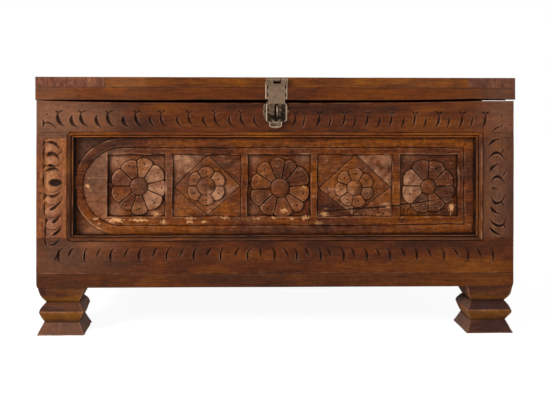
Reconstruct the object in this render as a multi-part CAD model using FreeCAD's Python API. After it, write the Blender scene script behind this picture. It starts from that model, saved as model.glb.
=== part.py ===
import FreeCAD, Part
import math
import os

from FreeCAD import Vector

# A storage chest of reclaimed hardwood on four carved block feet, with a framed and carved front,
# a hinged lid and an iron hasp. Millimetres, +Z up, the front faces -Y, +X is the viewer's right.
# The origin is on the floor, in the middle of the whole outline seen from above.

# Carcass
carcass_width = 1046.0
carcass_depth = 466.0
foot_height = 103.0
plank_thickness = 29.5
bottom_rail_height = 78.5
post_height = 218.0
top_rail_height = 80.5
rail_thickness = 40.0
side_rail_thickness = 34.0
post_width = 85.0
post_depth = 46.0
floor_plank_count = 4

# Joinery
tenon_thickness = 20.0
tenon_length = 30.0
post_tenon_width = 40.0
post_tenon_inset = 15.0
side_tenon_height = 32.0
side_tenon_thickness = 18.0
side_tenon_length = 20.0
side_tenon_inset = 8.0
side_tenon_rise = 8.0
board_thickness = 18.0
board_setback = 8.0
board_groove = 8.0

# Moulding and carved panel in the front frame
seat_side_margin = 67.5
seat_over_rail = 13.0
seat_under_rail = 7.0
moulding_side_width = 17.5
moulding_level_width = 13.5
moulding_depth = 14.0
moulding_corner = 12.0
moulding_edge_sink = 3.0
moulding_edge_width = 1.6
moulding_slope_start = 0.6
moulding_slope_end = 6.5
moulding_bead_rise = 3.0
moulding_lip_sink = 7.5
moulding_lip_rise = 1.8
moulding_slope_end_share = 0.60
moulding_bead_end_share = 0.80
moulding_lip_start_share = 0.84
panel_thickness = 20.0
panel_groove = 8.0
panel_play = 0.5

# Carving of the panel
border_width = 20.0
border_groove_width = 2.5
border_groove_depth = 3.0
border_edge_gap = 1.0
arch_tuck = 3.0
corner_field_sink = 5.0
pocket_left_margin = 65.7
pocket_right_margin = 32.8
pocket_height = 138.0
pocket_rise = 37.0
pocket_sink = 9.0
flower_height = 6.0
flower_groove_width = 1.8
flower_groove_depth = 2.2
flower_dome_rise = 5.5
diamond_height = 4.0
carving_margin = 0.8
carving_root = 2.0
pocket_edge_shares = [(0.0, 0.1646), (0.1842, 0.3792), (0.3955, 0.5779), (0.5949, 0.8109), (0.8316, 1.0)]
flower_place_shares = [(0.0896, 0.486), (0.2800, 0.489), (0.4896, 0.459), (0.7017, 0.462), (0.9143, 0.478)]
flower_radius_shares = [0.455, 0.314, 0.480, 0.322, 0.440]
dome_radius_shares = [0.142, 0.142, 0.153, 0.121, 0.121]
flower_waist_share = 0.90
flower_groove_start_share = 0.8
diamond_waist_share = 0.62
flower_cut_angles = [
    (14, 57, 95, 137, 180, 220, 252, 290, 337),
    (0, 60, 120, 180, 240, 300),
    (6, 51, 79, 113, 147, 184, 222, 256, 300, 328),
    (2, 58, 112, 160, 214, 262, 312),
    (2, 45, 88, 132, 178, 226, 270, 316),
]
diamond_squares = (1, 3)

# Feet
foot_width = 104.0
foot_depth = 90.0
foot_lower_waist = 13.0
foot_upper_waist = 15.0
foot_belly_inset = 3.5
foot_lower_waist_height = 26.5
foot_belly_height = 49.0
foot_upper_waist_height = 68.5
foot_crown_inset = 1.2
foot_crown_bulge = 2.2
foot_bulge_under_belly = 0.9
foot_bulge_over_belly = 2.2
plank_end_round = 11.5
dowel_radius = 8.0
dowel_depth_in_foot = 48.0
dowel_place_shares = (0.34, 0.76)

# Nails
nail_radius = 2.0
nail_fit = 0.05
plank_nail_length = 50.0
plank_nail_edge = 17.0
plank_nail_spread_share = 0.26
lid_nail_length = 42.0
lid_nail_edge = 30.0

# Lid
lid_side_overhang = 2.0
lid_gap = 4.0
lid_frame_thickness = 26.0
lid_board_thickness = 22.5
lid_front_overhang = 2.0
lid_back_overhang = 20.0
lid_rail_width = 70.0
lid_batten_width = 60.0
lid_tenon_thickness = 9.0
lid_tenon_length = 20.0
lid_tenon_width = 40.0
left_end_board_width = 150.0
right_end_board_width = 104.0
long_board_count = 3

# Lid hinges
hinge_spacing = 660.0
hinge_width = 60.0
hinge_leaf_length = 30.0
hinge_leaf_thickness = 2.0
hinge_knuckle_radius = 4.0
hinge_pin_radius = 2.2
hinge_running_gap = 0.3
pin_running_fit = 0.05
knuckle_end_gap = 0.4
screw_radius = 1.8
screw_head_radius = 3.4
screw_head_height = 1.6
hinge_screw_length = 18.0
hinge_screw_spread_share = 0.32
hinge_screw_edge_share = 0.42

# Hasp, staple plate and staple
hasp_offset = -1.0
hasp_width = 50.0
hasp_metal = 2.0
hasp_knuckle_radius = 4.0
hasp_pin_radius = 1.6
hasp_pin_drop = 6.0
hasp_middle_knuckle = 16.6
hasp_leaf_foot_gap = 0.5
strap_clearance = 0.6
strap_head_height = 12.0
strap_notch_height = 7.7
strap_neck_width = 37.0
strap_wide_width = 47.0
strap_tongue_width = 29.0
strap_neck_end = 52.0
strap_wide_end = 90.5
strap_tongue_end = 102.6
strap_tip_end = 105.5
strap_tip_width = 9.0
strap_shoulder = 4.0
strap_step = 2.6
slot_width = 8.8
slot_height = 35.0
slot_drop = 51.0
leaf_screw_spread = 36.0
leaf_screw_drops = (16.0, 32.0)
leaf_screw_length = 16.0
staple_wire_radius = 2.0
staple_bend_radius = 12.0
staple_projection = 23.0
staple_leg_in_rail = 25.0
staple_plate_width = 57.0
staple_plate_height = 31.0
staple_plate_scallop = 7.0
plate_screw_spread = 46.0

overrun = 5.0

# Levels above the floor
floor_under = foot_height
floor_top = floor_under + plank_thickness
post_bottom = floor_top + bottom_rail_height
post_top = post_bottom + post_height
carcass_top = post_top + top_rail_height
lid_under = carcass_top + lid_gap
lid_frame_top = lid_under + lid_frame_thickness
lid_top = lid_frame_top + lid_board_thickness

# Places front to back: the staple reaches furthest forward, the lid furthest back
hasp_reach = staple_projection - lid_front_overhang
lid_depth = lid_front_overhang + carcass_depth + lid_back_overhang
outline_depth = hasp_reach + lid_depth
lid_front = hasp_reach - outline_depth / 2
lid_back = lid_front + lid_depth
front = lid_front + lid_front_overhang
back = front + carcass_depth
left = -carcass_width / 2
right = carcass_width / 2
lid_left = left - lid_side_overhang
lid_right = right + lid_side_overhang


def box(x0, x1, y0, y1, z0, z1):
    return Part.makeBox(x1 - x0, y1 - y0, z1 - z0, Vector(x0, y0, z0))


def rod_x(x0, x1, y, z, radius):
    return Part.makeCylinder(radius, x1 - x0, Vector(x0, y, z), Vector(1, 0, 0))


def rod_y(x, y0, y1, z, radius):
    return Part.makeCylinder(radius, y1 - y0, Vector(x, y0, z), Vector(0, 1, 0))


def rod_z(x, y, z0, z1, radius):
    return Part.makeCylinder(radius, z1 - z0, Vector(x, y, z0), Vector(0, 0, 1))


def upright_prism(points, y0, y1):
    # A flat outline in the XZ plane, given as (x, z), made solid from y0 to y1
    corners = [Vector(x, y0, z) for x, z in points]
    wire = Part.makePolygon(corners + corners[:1])
    return Part.Face(wire).extrude(Vector(0, y1 - y0, 0))


def edges_to_prism(edges, direction):
    return Part.Face(Part.Wire(edges)).extrude(direction)


def line(a, b):
    return Part.LineSegment(a, b).toShape()


def arc(a, middle, b):
    return Part.Arc(a, middle, b).toShape()


def save(name, shape):
    solids = shape.Solids
    kept = solids[0] if len(solids) == 1 else Part.makeCompound(solids)
    if not kept.isValid():
        raise ValueError(name + " is not a valid solid")
    kept.exportStep("parts/" + name + ".step")


def mirror_y(shape):
    # The back half of the carcass is the front half turned about
    middle = (front + back) / 2
    return shape.mirror(Vector(0, middle, 0), Vector(0, 1, 0))


def mirror_x(shape):
    return shape.mirror(Vector(0, 0, 0), Vector(1, 0, 0))


# Foot dowels and nails are rods. The same rods, a hair fatter, drill the wood that they pass through.
def dowel_rods(extra=0.0):
    rods = []
    for x in (left + foot_width / 2, right - foot_width / 2):
        for share in dowel_place_shares:
            inset = foot_depth * share
            for y in (front + inset, back - inset):
                bottom = floor_under - dowel_depth_in_foot
                rods.append(rod_z(x, y, bottom, floor_top, dowel_radius + extra))
    return rods


def plank_edges():
    width = carcass_depth / floor_plank_count
    return [(front + width * i, front + width * (i + 1)) for i in range(floor_plank_count)]


def plank_nail_rods(extra=0.0):
    rods = []
    for y0, y1 in plank_edges():
        spread = (y1 - y0) * plank_nail_spread_share
        for y in ((y0 + y1) / 2 - spread, (y0 + y1) / 2 + spread):
            for x in (left + plank_nail_edge, right - plank_nail_edge):
                top = floor_under + plank_nail_length
                rods.append(rod_z(x, y, floor_under, top, nail_radius + extra))
    return rods


def foot_outline(width, lift):
    # One side view of a foot: flared base, sharp belly, waist, and a crown that rounds out to the planks
    half = width / 2
    low_waist = half - foot_lower_waist
    high_waist = half - foot_upper_waist
    belly = half - foot_belly_inset
    crown = half - foot_crown_inset
    under_belly = (low_waist + belly) / 2 + foot_bulge_under_belly
    over_belly = (high_waist + belly) / 2 + foot_bulge_over_belly
    crown_bend = (high_waist + crown) / 2 + foot_crown_bulge
    under_belly_height = (foot_lower_waist_height + foot_belly_height) / 2
    over_belly_height = (foot_belly_height + foot_upper_waist_height) / 2
    crown_bend_height = (foot_upper_waist_height + floor_under) / 2

    def side(sign):
        base = lift(sign * half, 0)
        low = lift(sign * low_waist, foot_lower_waist_height)
        ridge = lift(sign * belly, foot_belly_height)
        high = lift(sign * high_waist, foot_upper_waist_height)
        top = lift(sign * crown, floor_under)
        edges = [
            line(base, low),
            arc(low, lift(sign * under_belly, under_belly_height), ridge),
            arc(ridge, lift(sign * over_belly, over_belly_height), high),
            arc(high, lift(sign * crown_bend, crown_bend_height), top),
        ]
        return base, top, edges

    right_base, right_top, right_edges = side(1)
    left_base, left_top, left_edges = side(-1)
    return right_edges + left_edges + [line(right_base, left_base), line(right_top, left_top)]


def foot(x_middle, y_middle):
    def front_view(across, height):
        return Vector(x_middle + across, y_middle - foot_depth / 2, height)

    def side_view(across, height):
        return Vector(x_middle - foot_width / 2, y_middle + across, height)

    seen_from_front = edges_to_prism(
        Part.sortEdges(foot_outline(foot_width, front_view))[0],
        Vector(0, foot_depth, 0),
    )
    seen_from_side = edges_to_prism(
        Part.sortEdges(foot_outline(foot_depth, side_view))[0],
        Vector(foot_width, 0, 0),
    )
    return seen_from_front.common(seen_from_side).cut(dowel_rods(nail_fit))


def build_feet():
    for side, x in (("left", left + foot_width / 2), ("right", right - foot_width / 2)):
        save("front_" + side + "_foot", foot(x, front + foot_depth / 2))
        save("back_" + side + "_foot", foot(x, back - foot_depth / 2))
    save("foot_dowels", Part.makeCompound(dowel_rods()))


def plank_end_shape(y0, y1):
    # The planks' ends run on the round of the feet, so their lower edge is rolled under
    low = floor_under
    turn = low + plank_end_round
    inner = right - foot_crown_inset
    middle_inset = foot_crown_inset / 4
    bend_x = right - middle_inset
    bend_z = (low + turn) / 2
    places = [(inner, low), (right, turn), (right, floor_top), (left, floor_top), (left, turn), (-inner, low)]
    a, b, c, d, e, f = [Vector(x, y0, z) for x, z in places]
    outline = [
        arc(a, Vector(bend_x, y0, bend_z), b),
        line(b, c),
        line(c, d),
        line(d, e),
        arc(e, Vector(-bend_x, y0, bend_z), f),
        line(f, a),
    ]
    return edges_to_prism(outline, Vector(0, y1 - y0, 0))


def build_floor():
    names = ["front_floor_plank", "front_middle_floor_plank", "back_middle_floor_plank", "back_floor_plank"]
    holes = dowel_rods(nail_fit) + plank_nail_rods(nail_fit)
    for index, (y0, y1) in enumerate(plank_edges()):
        name = names[index] if index < len(names) else "floor_plank_" + str(index + 1)
        save(name, plank_end_shape(y0, y1).cut(holes))
    save("plank_nails", Part.makeCompound(plank_nail_rods()))


# The seat is the stepped hole in the front frame that takes the moulding, with the panel's groove behind it.
seat_left = left + seat_side_margin
seat_right = right - seat_side_margin
seat_top = post_top + seat_over_rail
seat_bottom = post_bottom - seat_under_rail
seat_back = front + moulding_depth
opening_left = left + post_width
opening_right = right - post_width
opening_top = post_top
opening_bottom = seat_bottom + moulding_level_width
groove_back = seat_back + panel_thickness


def moulding_seat():
    # Rounded at its two left corners, square at the right, as the older board inside it is
    r = moulding_corner
    diagonal = r * (1 - math.cos(math.pi / 4))
    y = front
    low_left = Vector(seat_left, y, seat_bottom + r)
    high_left = Vector(seat_left, y, seat_top - r)
    top_left = Vector(seat_left + r, y, seat_top)
    base_left = Vector(seat_left + r, y, seat_bottom)
    top_right = Vector(seat_right, y, seat_top)
    base_right = Vector(seat_right, y, seat_bottom)
    edges = [
        line(low_left, high_left),
        arc(high_left, Vector(seat_left + diagonal, y, seat_top - diagonal), top_left),
        line(top_left, top_right),
        line(top_right, base_right),
        line(base_right, base_left),
        arc(base_left, Vector(seat_left + diagonal, y, seat_bottom + diagonal), low_left),
    ]
    return edges_to_prism(edges, Vector(0, moulding_depth, 0))


def panel_blank(play=0.0):
    return box(
        opening_left - panel_groove + play,
        opening_right + panel_groove - play,
        seat_back,
        groove_back,
        seat_bottom,
        post_top + panel_groove - play,
    )


def post_tenon(z0, z1):
    y = front + (rail_thickness - tenon_thickness) / 2
    x = left + post_tenon_inset
    return box(x, x + post_tenon_width, y, y + tenon_thickness, z0, z1)


def post_tenons():
    # Both tenons of the front left post
    upper = post_tenon(post_top, post_top + tenon_length)
    lower = post_tenon(post_bottom - tenon_length, post_bottom)
    return [upper, lower]


def four_ways(shape):
    # A solid of the front left corner, repeated at all four corners
    return [shape, mirror_x(shape), mirror_y(shape), mirror_x(mirror_y(shape))]


def side_tenon(z0):
    # Where a left rail enters the front rail
    x = left + side_tenon_inset
    y = front + rail_thickness - side_tenon_length
    return box(x, x + side_tenon_thickness, y, front + rail_thickness, z0, z0 + side_tenon_height)


side_tenon_levels = (floor_top + side_tenon_rise, carcass_top - side_tenon_rise - side_tenon_height)


def rail_mortises():
    cuts = []
    for tenon in post_tenons():
        cuts += four_ways(tenon)
    for level in side_tenon_levels:
        cuts += four_ways(side_tenon(level))
    return cuts


def side_boards_blank(z0, z1):
    x = left + board_setback
    y0 = front + post_depth - board_groove
    y1 = back - post_depth + board_groove
    return box(x, x + board_thickness, y0, y1, z0, z1)


def back_boards_blank(z0, z1):
    x = opening_left - board_groove
    y = back - board_setback
    return box(x, -x, y - board_thickness, y, z0, z1)


def board_levels():
    middle = (post_bottom + post_top) / 2
    return (post_bottom - board_groove, middle), (middle, post_top + board_groove)


def frame_grooves():
    # Every groove and seat that the boards, the carved panel and the moulding sit in
    low = post_bottom - board_groove
    high = post_top + board_groove
    side = side_boards_blank(low, high)
    return [moulding_seat(), panel_blank(), side, mirror_x(side), back_boards_blank(low, high)]


def hasp_holes():
    # Holes in the front top rail for the staple's legs and the plate's screws
    return staple_leg_rods(nail_fit) + plate_screws(nail_fit)


def build_carcass():
    cuts = rail_mortises() + frame_grooves() + plank_nail_rods(nail_fit)
    low = box(left, right, front, front + rail_thickness, floor_top, post_bottom)
    high = box(left, right, front, front + rail_thickness, post_top, carcass_top)
    save("front_bottom_rail", low.cut(cuts))
    save("front_top_rail", high.cut(cuts + hasp_holes()))
    save("back_bottom_rail", mirror_y(low).cut(cuts))
    save("back_top_rail", mirror_y(high).cut(cuts + chest_leaf_screws(nail_fit)))

    y0 = front + rail_thickness
    y1 = back - rail_thickness
    for level, (z0, z1), tenon_level in (
        ("bottom", (floor_top, post_bottom), side_tenon_levels[0]),
        ("top", (post_top, carcass_top), side_tenon_levels[1]),
    ):
        rail = box(left, left + side_rail_thickness, y0, y1, z0, z1)
        tenon = side_tenon(tenon_level)
        rail = rail.fuse([tenon, mirror_y(tenon)]).removeSplitter()
        own_cuts = frame_grooves() + plank_nail_rods(nail_fit)
        save("left_" + level + "_rail", rail.cut(own_cuts))
        save("right_" + level + "_rail", mirror_x(rail).cut(own_cuts))

    post = box(left, left + post_width, front, front + post_depth, post_bottom, post_top)
    post = post.fuse(post_tenons()).removeSplitter()
    names = ("front_left_post", "front_right_post", "back_left_post", "back_right_post")
    for name, solid in zip(names, four_ways(post)):
        save(name, solid.cut(frame_grooves()))

    for name, (z0, z1) in zip(("lower", "upper"), board_levels()):
        side = side_boards_blank(z0, z1)
        save("left_" + name + "_board", side)
        save("right_" + name + "_board", mirror_x(side))
        save("back_" + name + "_board", back_boards_blank(z0, z1))


# Moulding: a sunk outer edge, a slope down to a round bead, and a fine lip against the carved panel.
def moulding_profile(width, place):
    # place(across, sink) gives a point: across from the outer edge, sink back from the frame's face
    edge = moulding_edge_width
    slope_end = width * moulding_slope_end_share
    bead_end = width * moulding_bead_end_share
    lip_start = width * moulding_lip_start_share
    bead_top = moulding_slope_end - moulding_bead_rise
    a = place(0, moulding_edge_sink)
    b = place(edge, moulding_edge_sink)
    c = place(edge, moulding_slope_start)
    d = place(slope_end, moulding_slope_end)
    e = place(bead_end, moulding_slope_end)
    f = place(bead_end, moulding_lip_sink)
    g = place(lip_start, moulding_lip_sink)
    h = place(width, moulding_lip_sink)
    i = place(width, moulding_depth)
    j = place(0, moulding_depth)
    return [
        line(a, b),
        line(b, c),
        line(c, d),
        arc(d, place((slope_end + bead_end) / 2, bead_top), e),
        line(e, f),
        line(f, g),
        arc(g, place((lip_start + width) / 2, moulding_lip_sink - moulding_lip_rise), h),
        line(h, i),
        line(i, j),
        line(j, a),
    ]


def build_moulding():
    corners = {
        "top_left": (seat_left, seat_top),
        "top_right": (seat_right, seat_top),
        "bottom_left": (seat_left, seat_bottom),
        "bottom_right": (seat_right, seat_bottom),
    }
    inner = {
        "top_left": (opening_left, opening_top),
        "top_right": (opening_right, opening_top),
        "bottom_left": (opening_left, opening_bottom),
        "bottom_right": (opening_right, opening_bottom),
    }
    level_run = Vector(seat_right - seat_left, 0, 0)
    upright_run = Vector(0, 0, seat_top - seat_bottom)

    def from_top(across, sink):
        return Vector(seat_left, front + sink, seat_top - across)

    def from_bottom(across, sink):
        return Vector(seat_left, front + sink, seat_bottom + across)

    def from_left(across, sink):
        return Vector(seat_left + across, front + sink, seat_bottom)

    def from_right(across, sink):
        return Vector(seat_right - across, front + sink, seat_bottom)

    strips = {
        "top": (seat_over_rail, from_top, level_run, ("top_left", "top_right")),
        "bottom": (moulding_level_width, from_bottom, level_run, ("bottom_left", "bottom_right")),
        "left": (moulding_side_width, from_left, upright_run, ("bottom_left", "top_left")),
        "right": (moulding_side_width, from_right, upright_run, ("bottom_right", "top_right")),
    }
    for side, (width, place, run, ends) in strips.items():
        strip = edges_to_prism(moulding_profile(width, place), run)
        mitred = [corners[ends[0]], corners[ends[1]], inner[ends[1]], inner[ends[0]]]
        wedge = upright_prism(mitred, front, seat_back)
        save("panel_moulding_" + side, strip.common(wedge).common(moulding_seat()))


# The carved panel. Its five sunk squares each hold a flower, two of them on a low diamond.
arch_middle_height = (opening_bottom + opening_top) / 2
arch_radius = (opening_top - opening_bottom) / 2 - border_edge_gap
arch_middle_x = opening_left + arch_radius - arch_tuck
pocket_left = opening_left + pocket_left_margin
pocket_row_length = opening_right - pocket_right_margin - pocket_left
pocket_low = opening_bottom + pocket_rise
pocket_high = pocket_low + pocket_height
pocket_ground = seat_back + pocket_sink
carving_base = pocket_ground + carving_root


def border_shape(radius, right_end, depth):
    # A long field with a round left end and a square right end
    low = arch_middle_height - radius
    high = arch_middle_height + radius
    y = seat_back
    a = Vector(arch_middle_x, y, low)
    b = Vector(arch_middle_x, y, high)
    c = Vector(right_end, y, high)
    d = Vector(right_end, y, low)
    round_end = arc(a, Vector(arch_middle_x - radius, y, arch_middle_height), b)
    return edges_to_prism([round_end, line(b, c), line(c, d), line(d, a)], Vector(0, depth, 0))


def pocket_edges(index):
    start, end = pocket_edge_shares[index]
    return pocket_left + pocket_row_length * start, pocket_left + pocket_row_length * end


def flower_outline(x, z, radius, angles):
    # Petals with round tips between the cut angles, as one scalloped line
    waist = radius * flower_waist_share
    edges = []
    for index, angle in enumerate(angles):
        following = angles[(index + 1) % len(angles)]
        if following <= angle:
            following += 360
        first, last = math.radians(angle), math.radians(following)
        tip = (first + last) / 2
        points = [(waist, first), (radius, tip), (waist, last)]
        a, b, c = [Vector(x + r * math.cos(t), carving_base, z + r * math.sin(t)) for r, t in points]
        edges.append(arc(a, b, c))
    return edges


def flower(index):
    share_x, share_z = flower_place_shares[index]
    x = pocket_left + pocket_row_length * share_x
    z = pocket_low + pocket_height * share_z
    radius = pocket_height * flower_radius_shares[index]
    dome_radius = pocket_height * dome_radius_shares[index]
    face = pocket_ground - flower_height
    outline = flower_outline(x, z, radius, flower_cut_angles[index])
    petals = edges_to_prism(outline, Vector(0, face - carving_base, 0))
    start = dome_radius * flower_groove_start_share
    cuts = []
    for angle in flower_cut_angles[index]:
        cutter = box(x + start, x + radius + overrun, face - overrun, face + flower_groove_depth,
                     z - flower_groove_width / 2, z + flower_groove_width / 2)
        cutter.rotate(Vector(x, face, z), Vector(0, -1, 0), angle)
        cuts.append(cutter)
    petals = petals.cut(cuts)
    # The middle boss is the cap of a ball that is sunk in the board
    ball_radius = (dome_radius ** 2 + flower_dome_rise ** 2) / (2 * flower_dome_rise)
    ball = Part.makeSphere(ball_radius, Vector(x, face - flower_dome_rise + ball_radius, z))
    return petals.fuse(ball).removeSplitter()


def diamond(index):
    x0, x1 = pocket_edges(index)
    share_x, share_z = flower_place_shares[index]
    x = pocket_left + pocket_row_length * share_x
    z = pocket_low + pocket_height * share_z
    points = [(x0, z), (x, pocket_high), (x1, z), (x, pocket_low)]
    top = pocket_ground - diamond_height
    wires = []
    for level, share in ((pocket_ground, 1), (top, 1 - diamond_waist_share)):
        ring = [Vector(x + (px - x) * share, level, z + (pz - z) * share) for px, pz in points]
        wires.append(Part.makePolygon(ring + ring[:1]))
    root = upright_prism(points, pocket_ground, carving_base)
    return Part.makeLoft(wires, True, True).fuse(root).removeSplitter()


def build_panel():
    panel = panel_blank(panel_play)
    face = seat_back
    corner_block = box(opening_left - panel_groove, arch_middle_x, face, face + corner_field_sink,
                       opening_bottom - moulding_level_width, opening_top + panel_groove)
    corner_fields = corner_block.cut(border_shape(arch_radius, arch_middle_x + overrun, corner_field_sink))
    inner_radius = arch_radius - border_width
    right_end = opening_right - border_edge_gap - border_width
    groove = border_shape(inner_radius, right_end, border_groove_depth)
    narrower = border_groove_width
    within = border_shape(inner_radius - narrower, right_end - narrower, border_groove_depth)
    cuts = [corner_fields, groove.cut(within)]
    for index in range(len(pocket_edge_shares)):
        x0, x1 = pocket_edges(index)
        cuts.append(box(x0, x1, face, pocket_ground, pocket_low, pocket_high))
    panel = panel.cut(cuts)
    raised = []
    gap = carving_margin
    for index in range(len(pocket_edge_shares)):
        x0, x1 = pocket_edges(index)
        low = pocket_low + gap
        high = pocket_high - gap
        room = box(x0 + gap, x1 - gap, face - flower_dome_rise, carving_base, low, high)
        if index in diamond_squares:
            raised.append(diamond(index).common(room))
        raised.append(flower(index).common(room))
    save("carved_front_panel", panel.fuse(raised).removeSplitter())


# Lid
lid_board_left = lid_left + left_end_board_width
lid_board_right = lid_right - right_end_board_width


def lid_tenon(x, y_shoulder, toward):
    # A stub tenon on the end of a lid rail that runs front to back
    z = lid_under + (lid_frame_thickness - lid_tenon_thickness) / 2
    y0, y1 = sorted((y_shoulder, y_shoulder + toward * lid_tenon_length))
    return box(x - lid_tenon_width / 2, x + lid_tenon_width / 2, y0, y1, z, z + lid_tenon_thickness)


def lid_cross_pieces():
    # Name, middle and width of each piece of the lid frame that runs front to back
    return [
        ("lid_left_rail", lid_left + lid_rail_width / 2, lid_rail_width),
        ("lid_left_batten", lid_board_left, lid_batten_width),
        ("lid_right_batten", lid_board_right, lid_batten_width),
        ("lid_right_rail", lid_right - lid_rail_width / 2, lid_rail_width),
    ]


def lid_board_edges():
    width = lid_depth / long_board_count
    return [(lid_front + width * i, lid_front + width * (i + 1)) for i in range(long_board_count)]


def lid_nail_rods(extra=0.0):
    rods = []
    z0 = lid_top - lid_nail_length
    rows = [lid_left + lid_nail_edge, lid_right - lid_nail_edge]
    for joint in (lid_board_left, lid_board_right):
        rows += [joint - lid_nail_edge / 2, joint + lid_nail_edge / 2]
    for x in rows:
        for y0, y1 in lid_board_edges():
            for y in (y0 + lid_nail_edge, y1 - lid_nail_edge):
                rods.append(rod_z(x, y, z0, lid_top, nail_radius + extra))
    return rods


def build_lid():
    y0 = lid_front + lid_rail_width
    y1 = lid_back - lid_rail_width
    nails = lid_nail_rods(nail_fit)
    tenons = []
    for name, x, width in lid_cross_pieces():
        own = [lid_tenon(x, y0, -1), lid_tenon(x, y1, 1)]
        tenons += own
        bar = box(x - width / 2, x + width / 2, y0, y1, lid_under, lid_frame_top)
        save(name, bar.fuse(own).removeSplitter().cut(nails))
    front_rail = box(lid_left, lid_right, lid_front, y0, lid_under, lid_frame_top)
    back_rail = box(lid_left, lid_right, y1, lid_back, lid_under, lid_frame_top)
    save("lid_front_rail", front_rail.cut(tenons + nails + leaf_screws(nail_fit)))
    save("lid_back_rail", back_rail.cut(tenons + nails + lid_leaf_screws(nail_fit)))
    left_board = box(lid_left, lid_board_left, lid_front, lid_back, lid_frame_top, lid_top)
    right_board = box(lid_board_right, lid_right, lid_front, lid_back, lid_frame_top, lid_top)
    save("lid_left_end_board", left_board.cut(nails))
    save("lid_right_end_board", right_board.cut(nails))
    names = ["lid_front_board", "lid_middle_board", "lid_back_board"]
    for index, (a, b) in enumerate(lid_board_edges()):
        name = names[index] if index < len(names) else "lid_board_" + str(index + 1)
        board = box(lid_board_left, lid_board_right, a, b, lid_frame_top, lid_top)
        save(name, board.cut(nails + leaf_screws(nail_fit)))
    save("lid_nails", Part.makeCompound(lid_nail_rods()))


# Lid hinges: butt hinges at the back. One leaf stands on the chest's back, the other lies under the lid.
hinge_y = back + hinge_knuckle_radius + hinge_running_gap
hinge_z = lid_under - hinge_knuckle_radius - hinge_running_gap
hinge_places = (-hinge_spacing / 2, hinge_spacing / 2)


def countersunk(point, direction, length, extra):
    # A screw whose head lies flush with the metal at the point
    shank = Part.makeCylinder(screw_radius + extra, length, point, direction)
    head = Part.makeCone(screw_head_radius + extra, screw_radius + extra, screw_head_height, point, direction)
    return shank.fuse(head).removeSplitter()


def hinge_screw_spots():
    spread = hinge_width * hinge_screw_spread_share
    return [x + s * spread for x in hinge_places for s in (-1, 1)]


def chest_leaf_screws(extra=0.0):
    z = hinge_z - hinge_leaf_length * (1 - hinge_screw_edge_share)
    starts = [Vector(x, back + hinge_leaf_thickness, z) for x in hinge_screw_spots()]
    return [countersunk(start, Vector(0, -1, 0), hinge_screw_length, extra) for start in starts]


def lid_leaf_screws(extra=0.0):
    y = hinge_y - hinge_leaf_length * (1 - hinge_screw_edge_share)
    starts = [Vector(x, y, lid_under - hinge_leaf_thickness) for x in hinge_screw_spots()]
    return [countersunk(start, Vector(0, 0, 1), hinge_screw_length, extra) for start in starts]


def knuckle(x0, x1, extra=0.0):
    return rod_x(x0, x1, hinge_y, hinge_z, hinge_knuckle_radius + extra)


def build_hinges():
    third = hinge_width / 3
    gap = knuckle_end_gap / 2
    for side, x in zip(("left", "right"), hinge_places):
        x0 = x - hinge_width / 2
        x1 = x + hinge_width / 2
        pin_hole = rod_x(x0 - overrun, x1 + overrun, hinge_y, hinge_z, hinge_pin_radius + pin_running_fit)
        middle_room = knuckle(x0 + third - gap, x1 - third + gap, hinge_running_gap)
        outer_room = [
            knuckle(x0 - overrun, x0 + third + gap, hinge_running_gap),
            knuckle(x1 - third - gap, x1 + overrun, hinge_running_gap),
        ]
        chest_leaf = box(x0, x1, back, back + hinge_leaf_thickness, hinge_z - hinge_leaf_length, hinge_z)
        chest_leaf = chest_leaf.cut(middle_room)
        chest_leaf = chest_leaf.fuse([knuckle(x0, x0 + third - gap), knuckle(x1 - third + gap, x1)])
        chest_leaf = chest_leaf.cut([pin_hole] + chest_leaf_screws(nail_fit)).removeSplitter()
        save(side + "_hinge_chest_leaf", chest_leaf)
        leaf_start = hinge_y - hinge_leaf_length
        lid_leaf = box(x0, x1, leaf_start, hinge_y, lid_under - hinge_leaf_thickness, lid_under)
        lid_leaf = lid_leaf.cut(outer_room).fuse(knuckle(x0 + third + gap, x1 - third - gap))
        lid_leaf = lid_leaf.cut([pin_hole] + lid_leaf_screws(nail_fit)).removeSplitter()
        save(side + "_hinge_lid_leaf", lid_leaf)
    pins = []
    for x in hinge_places:
        pins.append(rod_x(x - hinge_width / 2, x + hinge_width / 2, hinge_y, hinge_z, hinge_pin_radius))
    save("hinge_pins", Part.makeCompound(pins))
    save("chest_leaf_screws", Part.makeCompound(chest_leaf_screws()))
    save("lid_leaf_screws", Part.makeCompound(lid_leaf_screws()))


# Hasp: a leaf on the lid's front edge, a strap that swings down from it, and the staple it drops over.
hasp_y = lid_front - hasp_knuckle_radius - hinge_running_gap
hasp_z = lid_top - hasp_pin_drop
hasp_left = hasp_offset - hasp_width / 2
hasp_right = hasp_offset + hasp_width / 2
middle_left = hasp_offset - hasp_middle_knuckle / 2
middle_right = hasp_offset + hasp_middle_knuckle / 2
strap_back = lid_front - hasp_metal - strap_clearance
strap_face = strap_back - hasp_metal
slot_middle = hasp_z - slot_drop - slot_height / 2


def leaf_screws(extra=0.0):
    screws = []
    for x in (hasp_offset - leaf_screw_spread / 2, hasp_offset + leaf_screw_spread / 2):
        for drop in leaf_screw_drops:
            start = Vector(x, lid_front - hasp_metal, hasp_z - drop)
            screws.append(countersunk(start, Vector(0, 1, 0), leaf_screw_length, extra))
    return screws


def plate_screws(extra=0.0):
    screws = []
    for x in (hasp_offset - plate_screw_spread / 2, hasp_offset + plate_screw_spread / 2):
        start = Vector(x, front - hasp_metal, slot_middle)
        screws.append(countersunk(start, Vector(0, 1, 0), leaf_screw_length, extra))
    return screws


def staple_leg_rods(extra=0.0):
    bend_y = front - staple_projection + staple_bend_radius + staple_wire_radius
    rods = []
    for z in (slot_middle - staple_bend_radius, slot_middle + staple_bend_radius):
        rods.append(rod_y(hasp_offset, bend_y, front + staple_leg_in_rail, z, staple_wire_radius + extra))
    return rods


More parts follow.
